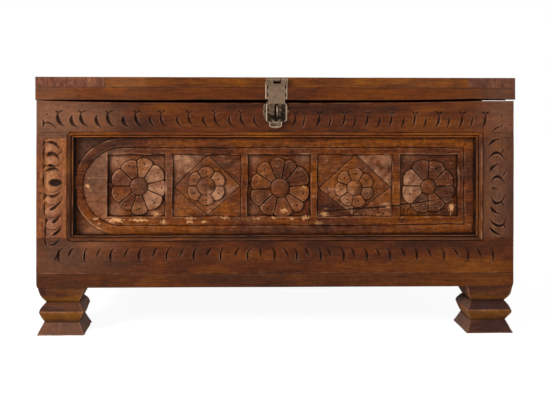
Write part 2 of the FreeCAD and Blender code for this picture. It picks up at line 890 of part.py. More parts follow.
def build_staple():
    bend_y = front - staple_projection + staple_bend_radius + staple_wire_radius
    torus = Part.makeTorus(staple_bend_radius, staple_wire_radius, Vector(hasp_offset, bend_y, slot_middle),
                           Vector(1, 0, 0))
    reach = staple_bend_radius + staple_wire_radius + overrun
    half = box(hasp_offset - reach, hasp_offset + reach, bend_y - reach, bend_y, slot_middle - reach,
               slot_middle + reach)
    loop = torus.common(half)
    save("staple", loop.fuse(staple_leg_rods()).removeSplitter())

    x0 = hasp_offset - staple_plate_width / 2
    x1 = hasp_offset + staple_plate_width / 2
    z0 = slot_middle - staple_plate_height / 2
    z1 = slot_middle + staple_plate_height / 2
    s = staple_plate_scallop
    y = front - hasp_metal
    points = [(x0 + s, z0), (x1 - s, z0), (x1, slot_middle), (x1 - s, z1), (x0 + s, z1), (x0, slot_middle)]
    a, b, c, d, e, f = [Vector(px, y, pz) for px, pz in points]
    quarter = staple_plate_height / 4
    bow = s / 3

    def scallop(first, sign, level, last):
        x_end = c.x if sign > 0 else f.x
        return arc(first, Vector(x_end - sign * bow, y, level), last)

    edges = [
        line(a, b),
        scallop(b, 1, slot_middle - quarter, c),
        scallop(c, 1, slot_middle + quarter, d),
        line(d, e),
        scallop(e, -1, slot_middle + quarter, f),
        scallop(f, -1, slot_middle - quarter, a),
    ]
    plate = edges_to_prism(edges, Vector(0, hasp_metal, 0))
    save("staple_plate", plate.cut(staple_leg_rods(nail_fit) + plate_screws(nail_fit)))
    save("staple_plate_screws", Part.makeCompound(plate_screws()))


def build_hasp():
    gap = knuckle_end_gap / 2
    hole_radius = hasp_pin_radius + pin_running_fit
    pin_hole = rod_x(hasp_left - overrun, hasp_right + overrun, hasp_y, hasp_z, hole_radius)
    clear_radius = hasp_knuckle_radius + hinge_running_gap
    outer_room = [
        rod_x(hasp_left - overrun, middle_left + gap, hasp_y, hasp_z, clear_radius),
        rod_x(middle_right - gap, hasp_right + overrun, hasp_y, hasp_z, clear_radius),
    ]
    leaf_foot = lid_under + hasp_leaf_foot_gap
    leaf = box(hasp_left, hasp_right, lid_front - hasp_metal, lid_front, leaf_foot, hasp_z)
    leaf = leaf.cut(outer_room)
    middle = rod_x(middle_left + gap, middle_right - gap, hasp_y, hasp_z, hasp_knuckle_radius)
    leaf = leaf.fuse(middle).cut([pin_hole] + leaf_screws(nail_fit)).removeSplitter()
    save("hasp_fixed_leaf", leaf)
    save("hasp_leaf_screws", Part.makeCompound(leaf_screws()))
    save("hasp_pin", rod_x(hasp_left, hasp_right, hasp_y, hasp_z, hasp_pin_radius))

    # The strap's outline, each place given as its half width and its drop below the pin
    half_head = hasp_width / 2
    half_neck = strap_neck_width / 2
    half_wide = strap_wide_width / 2
    half_tongue = strap_tongue_width / 2
    half_tip = strap_tip_width / 2
    outline = [
        (half_head, 0),
        (half_head, strap_head_height),
        (half_neck, strap_head_height),
        (half_neck, strap_neck_end - strap_shoulder / 2),
        (half_wide - strap_shoulder / 2, strap_neck_end),
        (half_wide, strap_neck_end + strap_shoulder),
        (half_wide, strap_wide_end - strap_step),
        (half_wide - strap_step, strap_wide_end),
        (half_tongue + strap_step, strap_wide_end),
        (half_tongue, strap_wide_end + strap_step),
        (half_tongue, strap_tongue_end - strap_step),
        (half_tongue - strap_step, strap_tongue_end),
        (half_tip, strap_tongue_end),
        (0, strap_tip_end),
    ]
    right_side = [(hasp_offset + half, hasp_z - drop) for half, drop in outline]
    left_side = [(hasp_offset - half, hasp_z - drop) for half, drop in reversed(outline[:-1])]
    strap = upright_prism(right_side + left_side, strap_face, strap_back)
    notch = box(middle_left - gap, middle_right + gap, strap_face - overrun, strap_back + overrun,
                hasp_z - strap_notch_height, hasp_z + overrun)
    knuckles = [
        rod_x(hasp_left, middle_left - gap, hasp_y, hasp_z, hasp_knuckle_radius),
        rod_x(middle_right + gap, hasp_right, hasp_y, hasp_z, hasp_knuckle_radius),
    ]
    slot_low = slot_middle - slot_height / 2 + slot_width / 2
    slot_high = slot_middle + slot_height / 2 - slot_width / 2
    slot_left = hasp_offset - slot_width / 2
    slot_right = hasp_offset + slot_width / 2
    slot = box(slot_left, slot_right, strap_face, strap_back, slot_low, slot_high)
    slot_ends = [rod_y(hasp_offset, strap_face, strap_back, z, slot_width / 2) for z in (slot_low, slot_high)]
    strap = strap.fuse(knuckles).cut([notch, pin_hole, slot] + slot_ends).removeSplitter()
    save("hasp_strap", strap)


os.makedirs("parts", exist_ok=True)
build_feet()
build_floor()
build_carcass()
build_moulding()
build_panel()
build_lid()
build_hinges()
build_staple()
build_hasp()
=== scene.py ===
"""A damchiya chest: reclaimed hardwood with chip-carved rails, a carved flower panel and an iron hasp.

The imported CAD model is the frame. The wood, the staple plate and the hasp are modelled here around it, in the order
in which the chest is put together. The dowels and the rest of the ironwork keep their CAD shape. Lengths are in
millimetres until a mesh is written, and the front of the chest faces -Y.
"""

import math

import bpy
import numpy as np
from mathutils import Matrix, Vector


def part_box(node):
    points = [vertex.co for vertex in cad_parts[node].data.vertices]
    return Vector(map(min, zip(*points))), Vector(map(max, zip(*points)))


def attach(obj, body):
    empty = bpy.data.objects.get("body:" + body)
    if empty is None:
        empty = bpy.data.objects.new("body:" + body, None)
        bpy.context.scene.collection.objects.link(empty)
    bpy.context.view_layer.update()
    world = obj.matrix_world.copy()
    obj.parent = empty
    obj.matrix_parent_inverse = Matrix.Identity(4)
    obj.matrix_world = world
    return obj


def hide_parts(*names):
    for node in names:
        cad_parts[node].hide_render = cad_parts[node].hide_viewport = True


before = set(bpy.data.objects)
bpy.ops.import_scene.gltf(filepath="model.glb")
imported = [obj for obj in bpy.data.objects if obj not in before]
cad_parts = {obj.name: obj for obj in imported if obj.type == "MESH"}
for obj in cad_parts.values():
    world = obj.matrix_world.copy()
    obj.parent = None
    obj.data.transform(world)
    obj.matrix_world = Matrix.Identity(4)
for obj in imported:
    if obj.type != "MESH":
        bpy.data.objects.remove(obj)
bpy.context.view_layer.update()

MM = 0.001


# Camera. It stands a metre and a half in front of the chest at the height of the lid, a little left of its middle
# and turned a degree to the right, as the picture of 550 x 412 was taken. The picture's middle is well below it.
lens_data = bpy.data.cameras.new("camera")
lens_data.sensor_width = 36.0
lens_data.lens = 44.25
lens_data.shift_x = 0.0602
lens_data.shift_y = -0.1923
camera = bpy.data.objects.new("camera", lens_data)
camera_turn = -0.0225
camera_roll = -0.002
camera.location = (-0.1101, -1.7075, 0.5117)
camera.rotation_euler = (math.radians(90.0), camera_roll, camera_turn)
bpy.context.scene.collection.objects.link(camera)
bpy.context.scene.camera = camera


# Studio. A pale floor without an end in a white room, one broad soft lamp high on the left and a weaker one on
# the right. What the camera sees of floor and room is white, and the floor keeps the shadow of the chest.
def linear(colour):
    """A colour written as sRGB hex, as the linear values that a shader takes."""
    shares = [int(colour[at:at + 2], 16) / 255 for at in (1, 3, 5)]
    return [s / 12.92 if s <= 0.04045 else ((s + 0.055) / 1.055) ** 2.4 for s in shares] + [1.0]


def add(tree, kind, inputs, **settings):
    """Adds a shader node. A setting is a property of the node. An input is a value, an output of another node, or
    the other node itself, which stands for the first of its outputs that is in use."""
    node = tree.nodes.new("ShaderNode" + kind)
    for name, value in settings.items():
        setattr(node, name, value)
    for key, value in inputs.items():
        if isinstance(value, bpy.types.Node):
            value = next(output for output in value.outputs if output.enabled)
        if isinstance(value, bpy.types.NodeSocket):
            tree.links.new(value, node.inputs[key])
        else:
            node.inputs[key].default_value = value
    return node


def empty_tree(owner):
    """Gives a material or a world a node tree with nothing in it."""
    owner.use_nodes = True
    owner.node_tree.nodes.clear()
    return owner.node_tree


def area_lamp(name, place, size, watts):
    """A rectangular soft lamp, aimed at the middle of the chest."""
    data = bpy.data.lights.new(name, "AREA")
    data.shape = "RECTANGLE"
    data.size, data.size_y = size
    data.energy = watts
    lamp = bpy.data.objects.new(name, data)
    lamp.location = place
    lamp.rotation_euler = (lamp_aim - Vector(place)).to_track_quat("-Z", "Y").to_euler()
    bpy.context.scene.collection.objects.link(lamp)


room_light = 0.34
lamp_aim = Vector((0.0, 0.0, 0.3))
paper_glow = 1.21
paper_glow_share = 0.77

room = bpy.data.worlds.new("white_room")
bpy.context.scene.world = room
tree = empty_tree(room)
ray = add(tree, "LightPath", {})
mirrored = add(tree, "Math", {0: ray.outputs["Is Glossy Ray"], 1: ray.outputs["Is Transmission Ray"]},
               operation="MAXIMUM")
seen = add(tree, "Math", {0: ray.outputs["Is Camera Ray"], 1: mirrored}, operation="MAXIMUM")
level = add(tree, "Math", {0: seen, 1: 1.0 - room_light, 2: room_light}, operation="MULTIPLY_ADD")
walls = add(tree, "Background", {"Color": linear("#ffffff"), "Strength": level})
add(tree, "OutputWorld", {"Surface": walls})

area_lamp("soft_lamp_left", (-2.6, -2.2, 2.0), (1.0, 1.0), 92.0)
area_lamp("fill_lamp_right", (1.9, -1.9, 1.0), (1.6, 1.4), 8.0)

bpy.ops.mesh.primitive_plane_add(size=60.0)
floor = bpy.context.object
floor.name = "studio_floor"
paper = bpy.data.materials.new("white_background_paper")
tree = empty_tree(paper)
lit = add(tree, "BsdfDiffuse", {"Color": linear("#f4f3f1")})
glow = add(tree, "Emission", {"Color": linear("#ffffff"), "Strength": paper_glow})
ray = add(tree, "LightPath", {})
share = add(tree, "Math", {0: ray.outputs["Is Camera Ray"], 1: paper_glow_share}, operation="MULTIPLY")
both = add(tree, "MixShader", {0: share, 1: lit, 2: glow})
add(tree, "OutputMaterial", {"Surface": both})
floor.data.materials.append(paper)


# Feet. Four blocks of old hardwood, each sawn from one piece with its grain across the front, waisted twice and
# filed to a sharp belly between. Hidden dowels hold them up into the floor planks. The arrises are rubbed pale.

# How many of each mark of the wood lie in a metre along the grain. A patch is about 150 by 55 mm, a streak 67 by
# 6 mm, a band of rings 450 by 38 mm, a pore 24 by 2 mm, and a spot of the worked surface 10 mm both ways.
patches_per_metre = 6.5
streaks_per_metre = 15.0
bands_per_metre = 2.2
pores_per_metre = 42.0
spots_per_metre = 105.0
rings_in_band = 95.0


def oiled_hardwood(name, grain, seed, shades, lightness=0.0, streaks=0.4, gloss=0.42, mottle=0.10):
    """Old sheesham, sawn, carved by hand, stained and oiled. It gives the eye a red brown ground with purple and
    honey coloured patches as wide as a hand, dark streaks along the grain, short open pores, dirt and painted shade
    in the cuts and hollows, pale rubbed arrises and painted highlights, and a satin shine. The pores are drawn wider
    than real ones, so that they show.
    grain says how much quicker the pattern changes across the grain than along it, for each axis. shades are its
    dark, middle and light colour, and lightness moves all of it towards the light one."""
    material = bpy.data.materials.new(name)
    tree = empty_tree(material)
    place = add(tree, "TexCoord", {}).outputs["Object"]
    offset = np.random.default_rng(seed).uniform(-9.0, 9.0, 3)
    patch_grain = [1.0 + (g - 1.0) * 0.16 for g in grain]
    along = add(tree, "Mapping", {"Vector": place, "Location": offset, "Scale": grain})
    wide = add(tree, "Mapping", {"Vector": place, "Location": offset, "Scale": patch_grain})
    patch = add(tree, "TexNoise", {"Vector": wide, "Scale": patches_per_metre, "Detail": 3.0, "Roughness": 0.55,
                                   "Distortion": 0.5})
    tone = add(tree, "Attribute", {}, attribute_name="tone").outputs["Fac"]
    spread = add(tree, "Math", {0: patch, 1: 1.9, 2: -0.45 + lightness}, operation="MULTIPLY_ADD")
    shade = add(tree, "Math", {0: tone, 1: 0.5, 2: spread}, operation="MULTIPLY_ADD")
    ground = add(tree, "ValToRGB", {"Fac": shade})
    ramp = ground.color_ramp
    ramp.elements.new(0.5)
    for element, at, colour in zip(ramp.elements, (0.08, 0.5, 0.95), shades):
        element.position = at
        element.color = linear(colour)

    streak = add(tree, "TexNoise", {"Vector": along, "Scale": streaks_per_metre, "Detail": 5.0, "Roughness": 0.62,
                                    "Distortion": 0.35})
    streak_share = add(tree, "MapRange", {"Value": streak, "From Min": 0.46, "From Max": 0.70, "To Min": 0.0,
                                          "To Max": streaks})
    streaked = add(tree, "Mix", {0: streak_share, 6: ground, 7: linear("#87583c")}, data_type="RGBA",
                   blend_type="MULTIPLY")
    band = add(tree, "TexNoise", {"Vector": along, "Scale": bands_per_metre, "Detail": 1.0})
    turns = add(tree, "Math", {0: band, 1: rings_in_band}, operation="MULTIPLY")
    rings = add(tree, "Math", {0: turns}, operation="SINE")
    ring_level = add(tree, "MapRange", {"Value": rings, "From Min": -1.0, "From Max": 1.0, "To Min": 0.87,
                                        "To Max": 1.06})
    ringed = add(tree, "Mix", {0: 1.0, 6: streaked, 7: ring_level}, data_type="RGBA", blend_type="MULTIPLY")
    fibre = add(tree, "TexNoise", {"Vector": along, "Scale": pores_per_metre, "Detail": 3.0, "Roughness": 0.7})
    fibre_level = add(tree, "MapRange", {"Value": fibre, "From Min": 0.3, "From Max": 0.7, "To Min": 0.82,
                                         "To Max": 1.18})
    fibrous = add(tree, "Mix", {0: 1.0, 6: ringed, 7: fibre_level}, data_type="RGBA", blend_type="MULTIPLY")
    spot = add(tree, "TexNoise", {"Vector": place, "Scale": spots_per_metre, "Detail": 5.0, "Roughness": 0.7})
    spot_level = add(tree, "MapRange", {"Value": spot, "From Min": 0.32, "From Max": 0.68,
                                        "To Min": 1.0 - 2 * mottle, "To Max": 1.0 + 2 * mottle})
    mottled = add(tree, "Mix", {0: 1.0, 6: fibrous, 7: spot_level}, data_type="RGBA", blend_type="MULTIPLY")
    pore = add(tree, "MapRange", {"Value": fibre, "From Min": 0.40, "From Max": 0.30, "To Min": 0.0,
                                  "To Max": 0.55})
    pored = add(tree, "Mix", {0: pore, 6: mottled, 7: linear("#2a120b")}, data_type="RGBA")

    # Rubbed wear and painted light both lighten the wood towards a pale pink brown.
    rub = add(tree, "Attribute", {}, attribute_name="rub").outputs["Fac"]
    rub_spots = add(tree, "Math", {0: rub, 1: fibre_level}, operation="MULTIPLY")
    rub_share = add(tree, "Math", {0: rub_spots, 1: spot_level}, operation="MULTIPLY", use_clamp=True)
    rubbed = add(tree, "Mix", {0: rub_share, 6: pored, 7: linear("#bd8664")}, data_type="RGBA")
    # Dirt and painted shade both darken the wood towards a near black.
    dirt = add(tree, "Attribute", {}, attribute_name="dirt").outputs["Fac"]
    dirty = add(tree, "Mix", {0: dirt, 6: rubbed, 7: linear("#120603")}, data_type="RGBA")
    fresh = add(tree, "Attribute", {}, attribute_name="fresh").outputs["Fac"]
    chipped = add(tree, "Mix", {0: fresh, 6: dirty, 7: linear("#dca069")}, data_type="RGBA")

    dullness = add(tree, "Math", {0: fibre, 1: 0.22, 2: gloss - 0.11}, operation="MULTIPLY_ADD")
    matt = add(tree, "Math", {0: dirt, 1: 0.35, 2: dullness}, operation="MULTIPLY_ADD")
    relief = add(tree, "Math", {0: streak, 1: 0.6, 2: fibre}, operation="MULTIPLY_ADD")
    bump = add(tree, "Bump", {"Height": relief, "Strength": 0.45, "Distance": 0.6 * MM})
    wood = add(tree, "BsdfPrincipled", {"Base Color": chipped, "Roughness": matt, "Normal": bump, "IOR": 1.5,
                                        "Specular IOR Level": 0.12})
    add(tree, "OutputMaterial", {"Surface": wood})
    return material


def corners_of(node):
    """The lowest and the highest corner of a CAD node, in millimetres."""
    low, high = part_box(node)
    return np.array(low) / MM, np.array(high) / MM


def points_of(piece):
    """The places of a mesh's points, in metres."""
    flat = np.empty(len(piece.data.vertices) * 3, np.float32)
    piece.data.vertices.foreach_get("co", flat)
    return flat.reshape(-1, 3).astype(float)


def place_points(piece, points):
    """Moves a mesh's points to places in millimetres."""
    piece.data.vertices.foreach_set("co", (np.asarray(points) * MM).astype(np.float32).ravel())
    piece.data.update()


def paint(piece, **layers):
    """Keeps a number for each point of the mesh, which the wood reads: rub (wear and painted light), dirt (dirt and
    painted shade), fresh or tone.
    """
    for name, values in layers.items():
        layer = piece.data.attributes.new(name, "FLOAT", "POINT")
        layer.data.foreach_set("value", np.asarray(values, np.float32).ravel())


def clamped(values):
    """Values held between 0 and 1."""
    return np.clip(values, 0.0, 1.0)


def bell(values, middle, reach):
    """How near values are to the middle of a mark: 1 there, and next to nothing from two reaches away."""
    return np.exp(-((values - middle) / reach) ** 2)


def ripple(points, size, seed):
    """A smooth unevenness between about -1 and 1 that changes over about that size, the same on every run."""
    waves = np.random.default_rng(seed)
    total = np.zeros(points.shape[:-1])
    for _ in range(8):
        direction = waves.normal(size=3)
        turn = 2 * math.pi / (size * waves.uniform(0.6, 1.7)) / np.linalg.norm(direction)
        total += np.sin(points @ (direction * turn) + waves.uniform(0.0, 2 * math.pi))
    return total / 3.2


def block(name, cuts):
    """A unit cube with even cuts across each face, the start of a squared piece of wood. It comes with the number
    of the cut that each of its points is on, along each axis."""
    bpy.ops.object.select_all(action="DESELECT")
    bpy.ops.mesh.primitive_cube_add(size=1.0)
    piece = bpy.context.object
    piece.name = piece.data.name = name
    bpy.ops.object.mode_set(mode="EDIT")
    bpy.ops.mesh.select_all(action="SELECT")
    bpy.ops.mesh.subdivide(number_cuts=cuts)
    bpy.ops.object.mode_set(mode="OBJECT")
    return piece, np.round((points_of(piece) + 0.5) * (cuts + 1)).astype(int)


def stations(length, edge, cuts):
    """Where the cuts of a block go along one side: close together in the two rubbed arrises, even between."""
    start = [0.0, 0.42 * edge, edge]
    middle = np.linspace(2.5 * edge, length - 2.5 * edge, cuts - 4)
    return np.concatenate([start, middle, [length - s for s in reversed(start)]])


def smooth_shaded(piece, degrees):
    """Shades a piece smooth, but for edges sharper than that."""
    bpy.ops.object.select_all(action="DESELECT")
    piece.select_set(True)
    bpy.context.view_layer.objects.active = piece
    bpy.ops.object.shade_smooth_by_angle(angle=math.radians(degrees))


def fit(piece, body, slot, material, *nodes):
    """Finishes a piece: its material, the body it moves with and the CAD nodes it stands for. slot is not used."""
    piece.data.materials.clear()
    piece.data.materials.append(material)
    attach(piece, body)
    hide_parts(*nodes)


foot_cuts = 31
foot_levels = (0.0, 26.5, 49.0, 68.5, 103.0)
foot_insets = (0.0, 13.0, 3.5, 15.0, 1.2)
foot_bulges = (0.0, 0.9, 2.2, 2.2)
low_waist, foot_belly, high_waist, foot_top = foot_levels[1:]
foot_arris = 0.9
foot_tone_levels = (0.0, 24.0, 27.0, 46.0, 49.0, 52.0, 66.0, 69.0, 76.0, 84.0, 103.0)
foot_tones = (-0.3, -0.3, 0.9, 1.3, 0.9, -0.7, -0.6, 0.6, 0.9, 0.1, -0.1)
foot_grain = (1.0, 9.0, 11.0)
foot_shades = ("#40231c", "#693a1e", "#85511a")


def foot_inset(height):
    """How far a foot's side lies within its base at each height."""
    inset = np.interp(height, foot_levels, foot_insets)
    for low, high, bulge in zip(foot_levels, foot_levels[1:], foot_bulges):
        inset = inset - bulge * np.sin(math.pi * clamped((height - low) / (high - low)))
    return inset


def outer_inset(height, outer):
    """How much further in than the rest the outer side of a left or a right foot lies at each height. Below 0 it
    stands further out."""
    if outer < 0:
        return 1.6 + 2.6 * bell(height, high_waist, 9.0)
    return 0.4 - 3.4 * bell(height, 81.0, 11.0) - 3.6 * bell(height, 43.0, 6.0)


def foot(node, seed, lightness, outer):
    """One foot block. outer is the side of it, -1 or 1, that faces away from the middle of the chest."""
    piece, steps = block(node + "_block", foot_cuts)
    low, high = corners_of(node)
    middle = (low + high) / 2
    half = (high - low) / 2
    turn = np.linspace(0.0, math.pi, 9)
    rises = [a + (b - a) * (1 - math.cos(t)) / 2 for a, b in zip(foot_levels, foot_levels[1:]) for t in turn[:-1]]
    height = np.array(rises + [foot_top])[steps[:, 2]]
    across = np.stack([stations(2 * half[i], foot_arris, foot_cuts)[steps[:, i]] - half[i] for i in (0, 1)], axis=1)
    nick = clamped(ripple(np.column_stack([across, height]), 23.0, seed) - 0.8) * 2.0
    reach = half[:2] - (foot_inset(height) + nick)[:, None]
    across = across / half[:2] * reach
    core = np.clip(across, -(reach - foot_arris), reach - foot_arris)
    out = across - core
    length = np.linalg.norm(out, axis=1, keepdims=True)
    across = np.where(length > 1e-6, core + out / np.maximum(length, 1e-6) * foot_arris, across)
    across[:, 0] -= outer * clamped(0.5 + 0.5 * outer * across[:, 0] / half[0]) * outer_inset(height, outer)
    points = np.column_stack([across + middle[:2], height])
    points[:, :2] -= out / np.maximum(length, 1e-6) * (0.3 + 0.3 * ripple(points, 40.0, seed + 1))[:, None]
    place_points(piece, points)

    to_sides = reach - np.abs(across)
    upright = clamped(1.0 - np.max(to_sides, axis=1) / 2.2) * (np.min(to_sides, axis=1) < foot_arris)
    ridge = bell(height, foot_belly, 1.3) + 0.7 * bell(height, 0.0, 1.3)
    waists = bell(height, low_waist, 2.0) + bell(height, high_waist, 2.0)
    # The inner side of each foot, which faces the middle of the chest, gets a painted light.
    lit_inner_side = clamped((reach[:, 0] + outer * across[:, 0]) / -2.0 + 1.0)
    dusty = 0.16 * (outer < 0) * clamped((26.0 - height) / 2.0) * (1.0 - 0.7 * lit_inner_side)
    worn = np.clip(0.45 * ridge + 0.5 * upright, 0, 0.7) * (0.7 + 0.4 * ripple(points, 12.0, seed + 2))
    paint(piece, rub=worn + 0.2 * lit_inner_side + dusty, dirt=clamped(0.75 * waists),
          tone=np.interp(height, foot_tone_levels, foot_tones))
    smooth_shaded(piece, 38)
    wood = oiled_hardwood("oiled_sheesham_" + node, foot_grain, seed, foot_shades, lightness)
    fit(piece, "chest", "foot_wood", wood, node)


for seed, node, lightness, outer in (
    (11, "front_left_foot", 0.0, -1), (12, "front_right_foot", -0.3, 1),
    (13, "back_left_foot", -0.1, -1), (14, "back_right_foot", -0.2, 1),
):
    foot(node, seed, lightness, outer)


# Floor planks. Four thick sawn boards that run from side to side and show as the lowest band of the front. Their
# ends are rolled under, down to the feet. They are nailed up into the rails from below.
def plain_member(node, body, slot, seed, grain, shades, lightness=0.0, streaks=0.4, work="board", levels=None,
                 edge=1.3, cuts=17, shape=None, joint_dirt=0.55, marks=()):
    """A plain member in the place of a CAD node, its arrises rubbed round, dirty at the joints, its faces uneven.
    levels are its lowest and highest level where they aren't the node's, shape bends its points, and marks are
    lengths where it is darker, lighter or rubbed: (x, reach, tone, rub)."""
    piece, steps = block(node + "_" + work, cuts)
    low, high = corners_of(node)
    if levels is not None:
        low[2], high[2] = levels
    points = low + np.stack([stations(high[i] - low[i], edge, cuts)[steps[:, i]] for i in range(3)], axis=1)
    gaps = np.sort(np.minimum(points - low, high - points), axis=1)
    radius = (edge * (0.78 + 0.22 * ripple(points, 70.0, seed)))[:, None]
    core = np.clip(points, low + radius, high - radius)
    out = points - core
    out /= np.maximum(np.linalg.norm(out, axis=1, keepdims=True), 1e-9)
    points = core + out * (radius - 0.12 + 0.12 * ripple(points, 110.0, seed + 1)[:, None])
    rub = clamped(1.0 - gaps[:, 1] / (2.2 * edge)) * (0.55 + 0.35 * ripple(points, 35.0, seed + 2))
    if shape is not None:
        points = shape(points)
    place_points(piece, points)
    joint = joint_dirt * clamped(1.3 - gaps[:, 1] / edge) * (0.8 + 0.3 * ripple(points, 50.0, seed + 3))
    tone, pale = np.zeros(len(points)), np.zeros(len(points))
    for x, reach, tone_mark, rub_mark in marks:
        nearness = bell(points[:, 0], x, reach)
        tone, pale = tone + tone_mark * nearness, pale + rub_mark * nearness
    paint(piece, rub=np.clip(rub, 0.0, 0.8) * 0.15 + pale, dirt=clamped(joint), tone=tone)
    smooth_shaded(piece, 40)
    fit(piece, body, slot, oiled_hardwood("oiled_sheesham_" + node, grain, seed, shades, lightness, streaks), node)


plank_grain = (1.0, 11.0, 11.0)
plank_shades = ("#472616", "#603114", "#774011")
end_roll = 11.5
rolled_length = 40.0


def rolled_ends(points):
    """Rolls the lower edge of a plank's two ends under, with the round that the feet start from."""
    low = points[:, 2].min()
    side = np.abs(points[:, 0]).max()
    drop = clamped(1.0 - (points[:, 2] - low) / end_roll)
    pull = end_roll * (1.0 - np.sqrt(clamped(1.0 - 0.35 * drop ** 2)))
    near = clamped((np.abs(points[:, 0]) - (side - rolled_length)) / rolled_length)
    points[:, 0] -= np.sign(points[:, 0]) * pull * near
    return points


for seed, node in enumerate(("front_floor_plank", "front_middle_floor_plank", "back_middle_floor_plank",
                             "back_floor_plank"), 31):
    plain_member(node, "chest", "plank_wood", seed, plank_grain, plank_shades, -0.05, shape=rolled_ends)


# Bottom rails. The front one is carved with a row of gouge cuts, tall ones that stand on a small foot and short
# ones between, leaning in from both ends to the middle. The side and back rails are plain, tenoned between.
rail_end = 523.0
rail_front = -231.5
rail_back = -191.5
rail_net = 1.1
rail_shades = ("#442213", "#622f13", "#7f4511")
along_x = (1.0, 12.0, 12.0)
along_y = (12.0, 1.0, 12.0)


def on_front(x, z):
    """Places on the chest's front, as points that ripple takes."""
    return np.stack([x, 0 * x, z], axis=-1)


class CarvedFace:
    """The front of a carved board, as heights over its flat on an even net of points, all in millimetres.
    drift is how far the pattern was set out to the left of true in the middle of the front."""

    def __init__(self, low, high, step, drift=0.0):
        self.x = np.linspace(low[0], high[0], round((high[0] - low[0]) / step) + 1)
        self.z = np.linspace(low[1], high[1], round((high[1] - low[1]) / step) + 1)
        self.net_x, self.net_z = np.meshgrid(self.x, self.z)
        self.drawn_x = self.net_x + drift * (1.0 - (self.net_x / rail_end) ** 2)
        self.step = step
        self.height, self.dirt, self.rub, self.fresh, self.tone = (np.zeros_like(self.net_x) for _ in range(5))

    def near(self, points, reach):
        """The part of the net round some points, as an index, and its places."""
        low, high = np.min(points, axis=0) - reach, np.max(points, axis=0) + reach
        rows = np.flatnonzero((self.z >= low[1]) & (self.z <= high[1]))
        columns = np.flatnonzero((self.drawn_x[0] >= low[0]) & (self.drawn_x[0] <= high[0]))
        index = np.ix_(rows, columns)
        return index, self.drawn_x[index], self.net_z[index]

    def soil(self, dirt, index=...):
        """Packs dirt and painted shade into a part of the face, where there isn't more of it already."""
        self.dirt[index] = np.maximum(self.dirt[index], dirt)

    def gouge(self, points, width, depth, belly=0.45, dirt=0.88):
        """A groove with a V section along a smooth line through points, widest at belly and thin at its ends."""
        points = np.array(points, float)
        share = np.linspace(0.0, 1.0, 15)
        order = len(points) - 1
        spots = np.linspace(0.0, 1.0, len(points))
        line = np.stack([np.polyval(np.polyfit(spots, points[:, i], order), share) for i in (0, 1)], axis=1)
        index, x, z = self.near(line, width)
        nearest = np.full(x.shape, np.inf)
        along = np.zeros(x.shape)
        for number, (a, b) in enumerate(zip(line, line[1:])):
            run = b - a
            t = np.clip(((x - a[0]) * run[0] + (z - a[1]) * run[1]) / max(run @ run, 1e-9), 0.0, 1.0)
            away = np.hypot(x - a[0] - t * run[0], z - a[1] - t * run[1])
            closer = away < nearest
            nearest[closer] = away[closer]
            along[closer] = ((number + t) / (len(line) - 1))[closer]
        swell = np.where(along < belly, along / belly, (1.0 - along) / (1.0 - belly))
        swell = 0.26 + 0.74 * np.sin(clamped(swell) * math.pi / 2)
        cut = clamped(1.0 - nearest / (width / 2 * swell))
        self.height[index] -= depth * swell * cut
        self.soil(dirt * clamped(cut * 3.2) * (0.5 + 0.5 * swell), index)

    def notch(self, points, depth, dirt=0.7):
        """A three-sided chip cut, deepest in its middle."""
        a, b, c = np.array(points, float)
        if (b - a)[0] * (c - a)[1] - (b - a)[1] * (c - a)[0] < 0:
            b, c = c, b
        index, x, z = self.near([a, b, c], 1.0)
        inside = np.full(x.shape, np.inf)
        for p, q in ((a, b), (b, c), (c, a)):
            run = (q - p) / np.linalg.norm(q - p)
            inside = np.minimum(inside, run[0] * (z - p[1]) - run[1] * (x - p[0]))
        cut = clamped(inside / 1.8)
        self.height[index] -= depth * cut
        self.soil(dirt * cut, index)

    def hole(self, spot, radius, depth):
        """A small drilled or punched hole."""
        index, x, z = self.near([spot], radius + 1.5)
        cut = clamped((radius + 0.4 - np.hypot(x - spot[0], z - spot[1])) / 0.8)
        self.height[index] -= depth * cut
        self.soil(0.95 * cut, index)

    def chip(self, spot, reach, depth, fresh, seed):
        """A torn chip with a ragged edge that shows pale wood."""
        index, x, z = self.near([spot], 1.6 * max(reach))
        ragged = 0.48 * ripple(np.stack([x, z, 0 * x], axis=-1), 5.0, seed)
        cut = clamped((1.0 - (np.hypot((x - spot[0]) / reach[0], (z - spot[1]) / reach[1]) + ragged)) / 0.25)
        self.height[index] -= depth * cut
        self.fresh[index] = np.maximum(self.fresh[index], fresh * cut)
        self.dirt[index] *= 1.0 - 0.8 * cut

    def patch(self, x, z, wide, high):
        """How far each point is inside an oval patch with a soft edge: 1 in its middle, 0 well away from it."""
        return np.exp(-(((self.drawn_x - x) / wide) ** 2 + ((self.net_z - z) / high) ** 2))

    def stain(self, *patches):
        """Darker, more purple patches of wood, or lighter, honey coloured ones: (x, z, wide, high, amount)."""
        for *place, amount in patches:
            self.tone += amount * self.patch(*place)

    def bleach(self, *patches):
        """Patches where the stain is rubbed away and the wood is pale and dry: (x, z, wide, high, amount)."""
        for *place, amount in patches:
            self.rub += amount * self.patch(*place)

    def weather(self, seed, unevenness=0.35, tool_marks=0.12, arris=1.2):
        """The last pass: rounded outer arrises, an uneven hand-worked face, dirt and painted shade in hollows, and
        rubbed edges.
        """
        net = on_front(self.net_x, self.net_z)
        border = np.minimum(np.minimum(self.net_x - self.x[0], self.x[-1] - self.net_x),
                            np.minimum(self.net_z - self.z[0], self.z[-1] - self.net_z))
        rounding = np.clip(arris - border, 0.0, arris)
        self.height -= arris - np.sqrt(arris ** 2 - rounding ** 2)
        self.height -= unevenness * (0.5 + 0.5 * ripple(net, 55.0, seed))
        self.height -= tool_marks * (0.5 + 0.5 * ripple(net, 7.0, seed + 1))
        # Points lower than the face round them get dirt and painted shade, and points that stand higher are rubbed
        # pale.
        hollow = blurred(self.height, max(1, round(2.4 / self.step))) - self.height
        self.soil(np.clip(hollow / 1.9, 0.0, 0.9))
        self.rub += np.clip(-hollow / 1.8, 0.0, 0.4) * clamped(0.4 + 0.7 * ripple(net, 26.0, seed + 2))


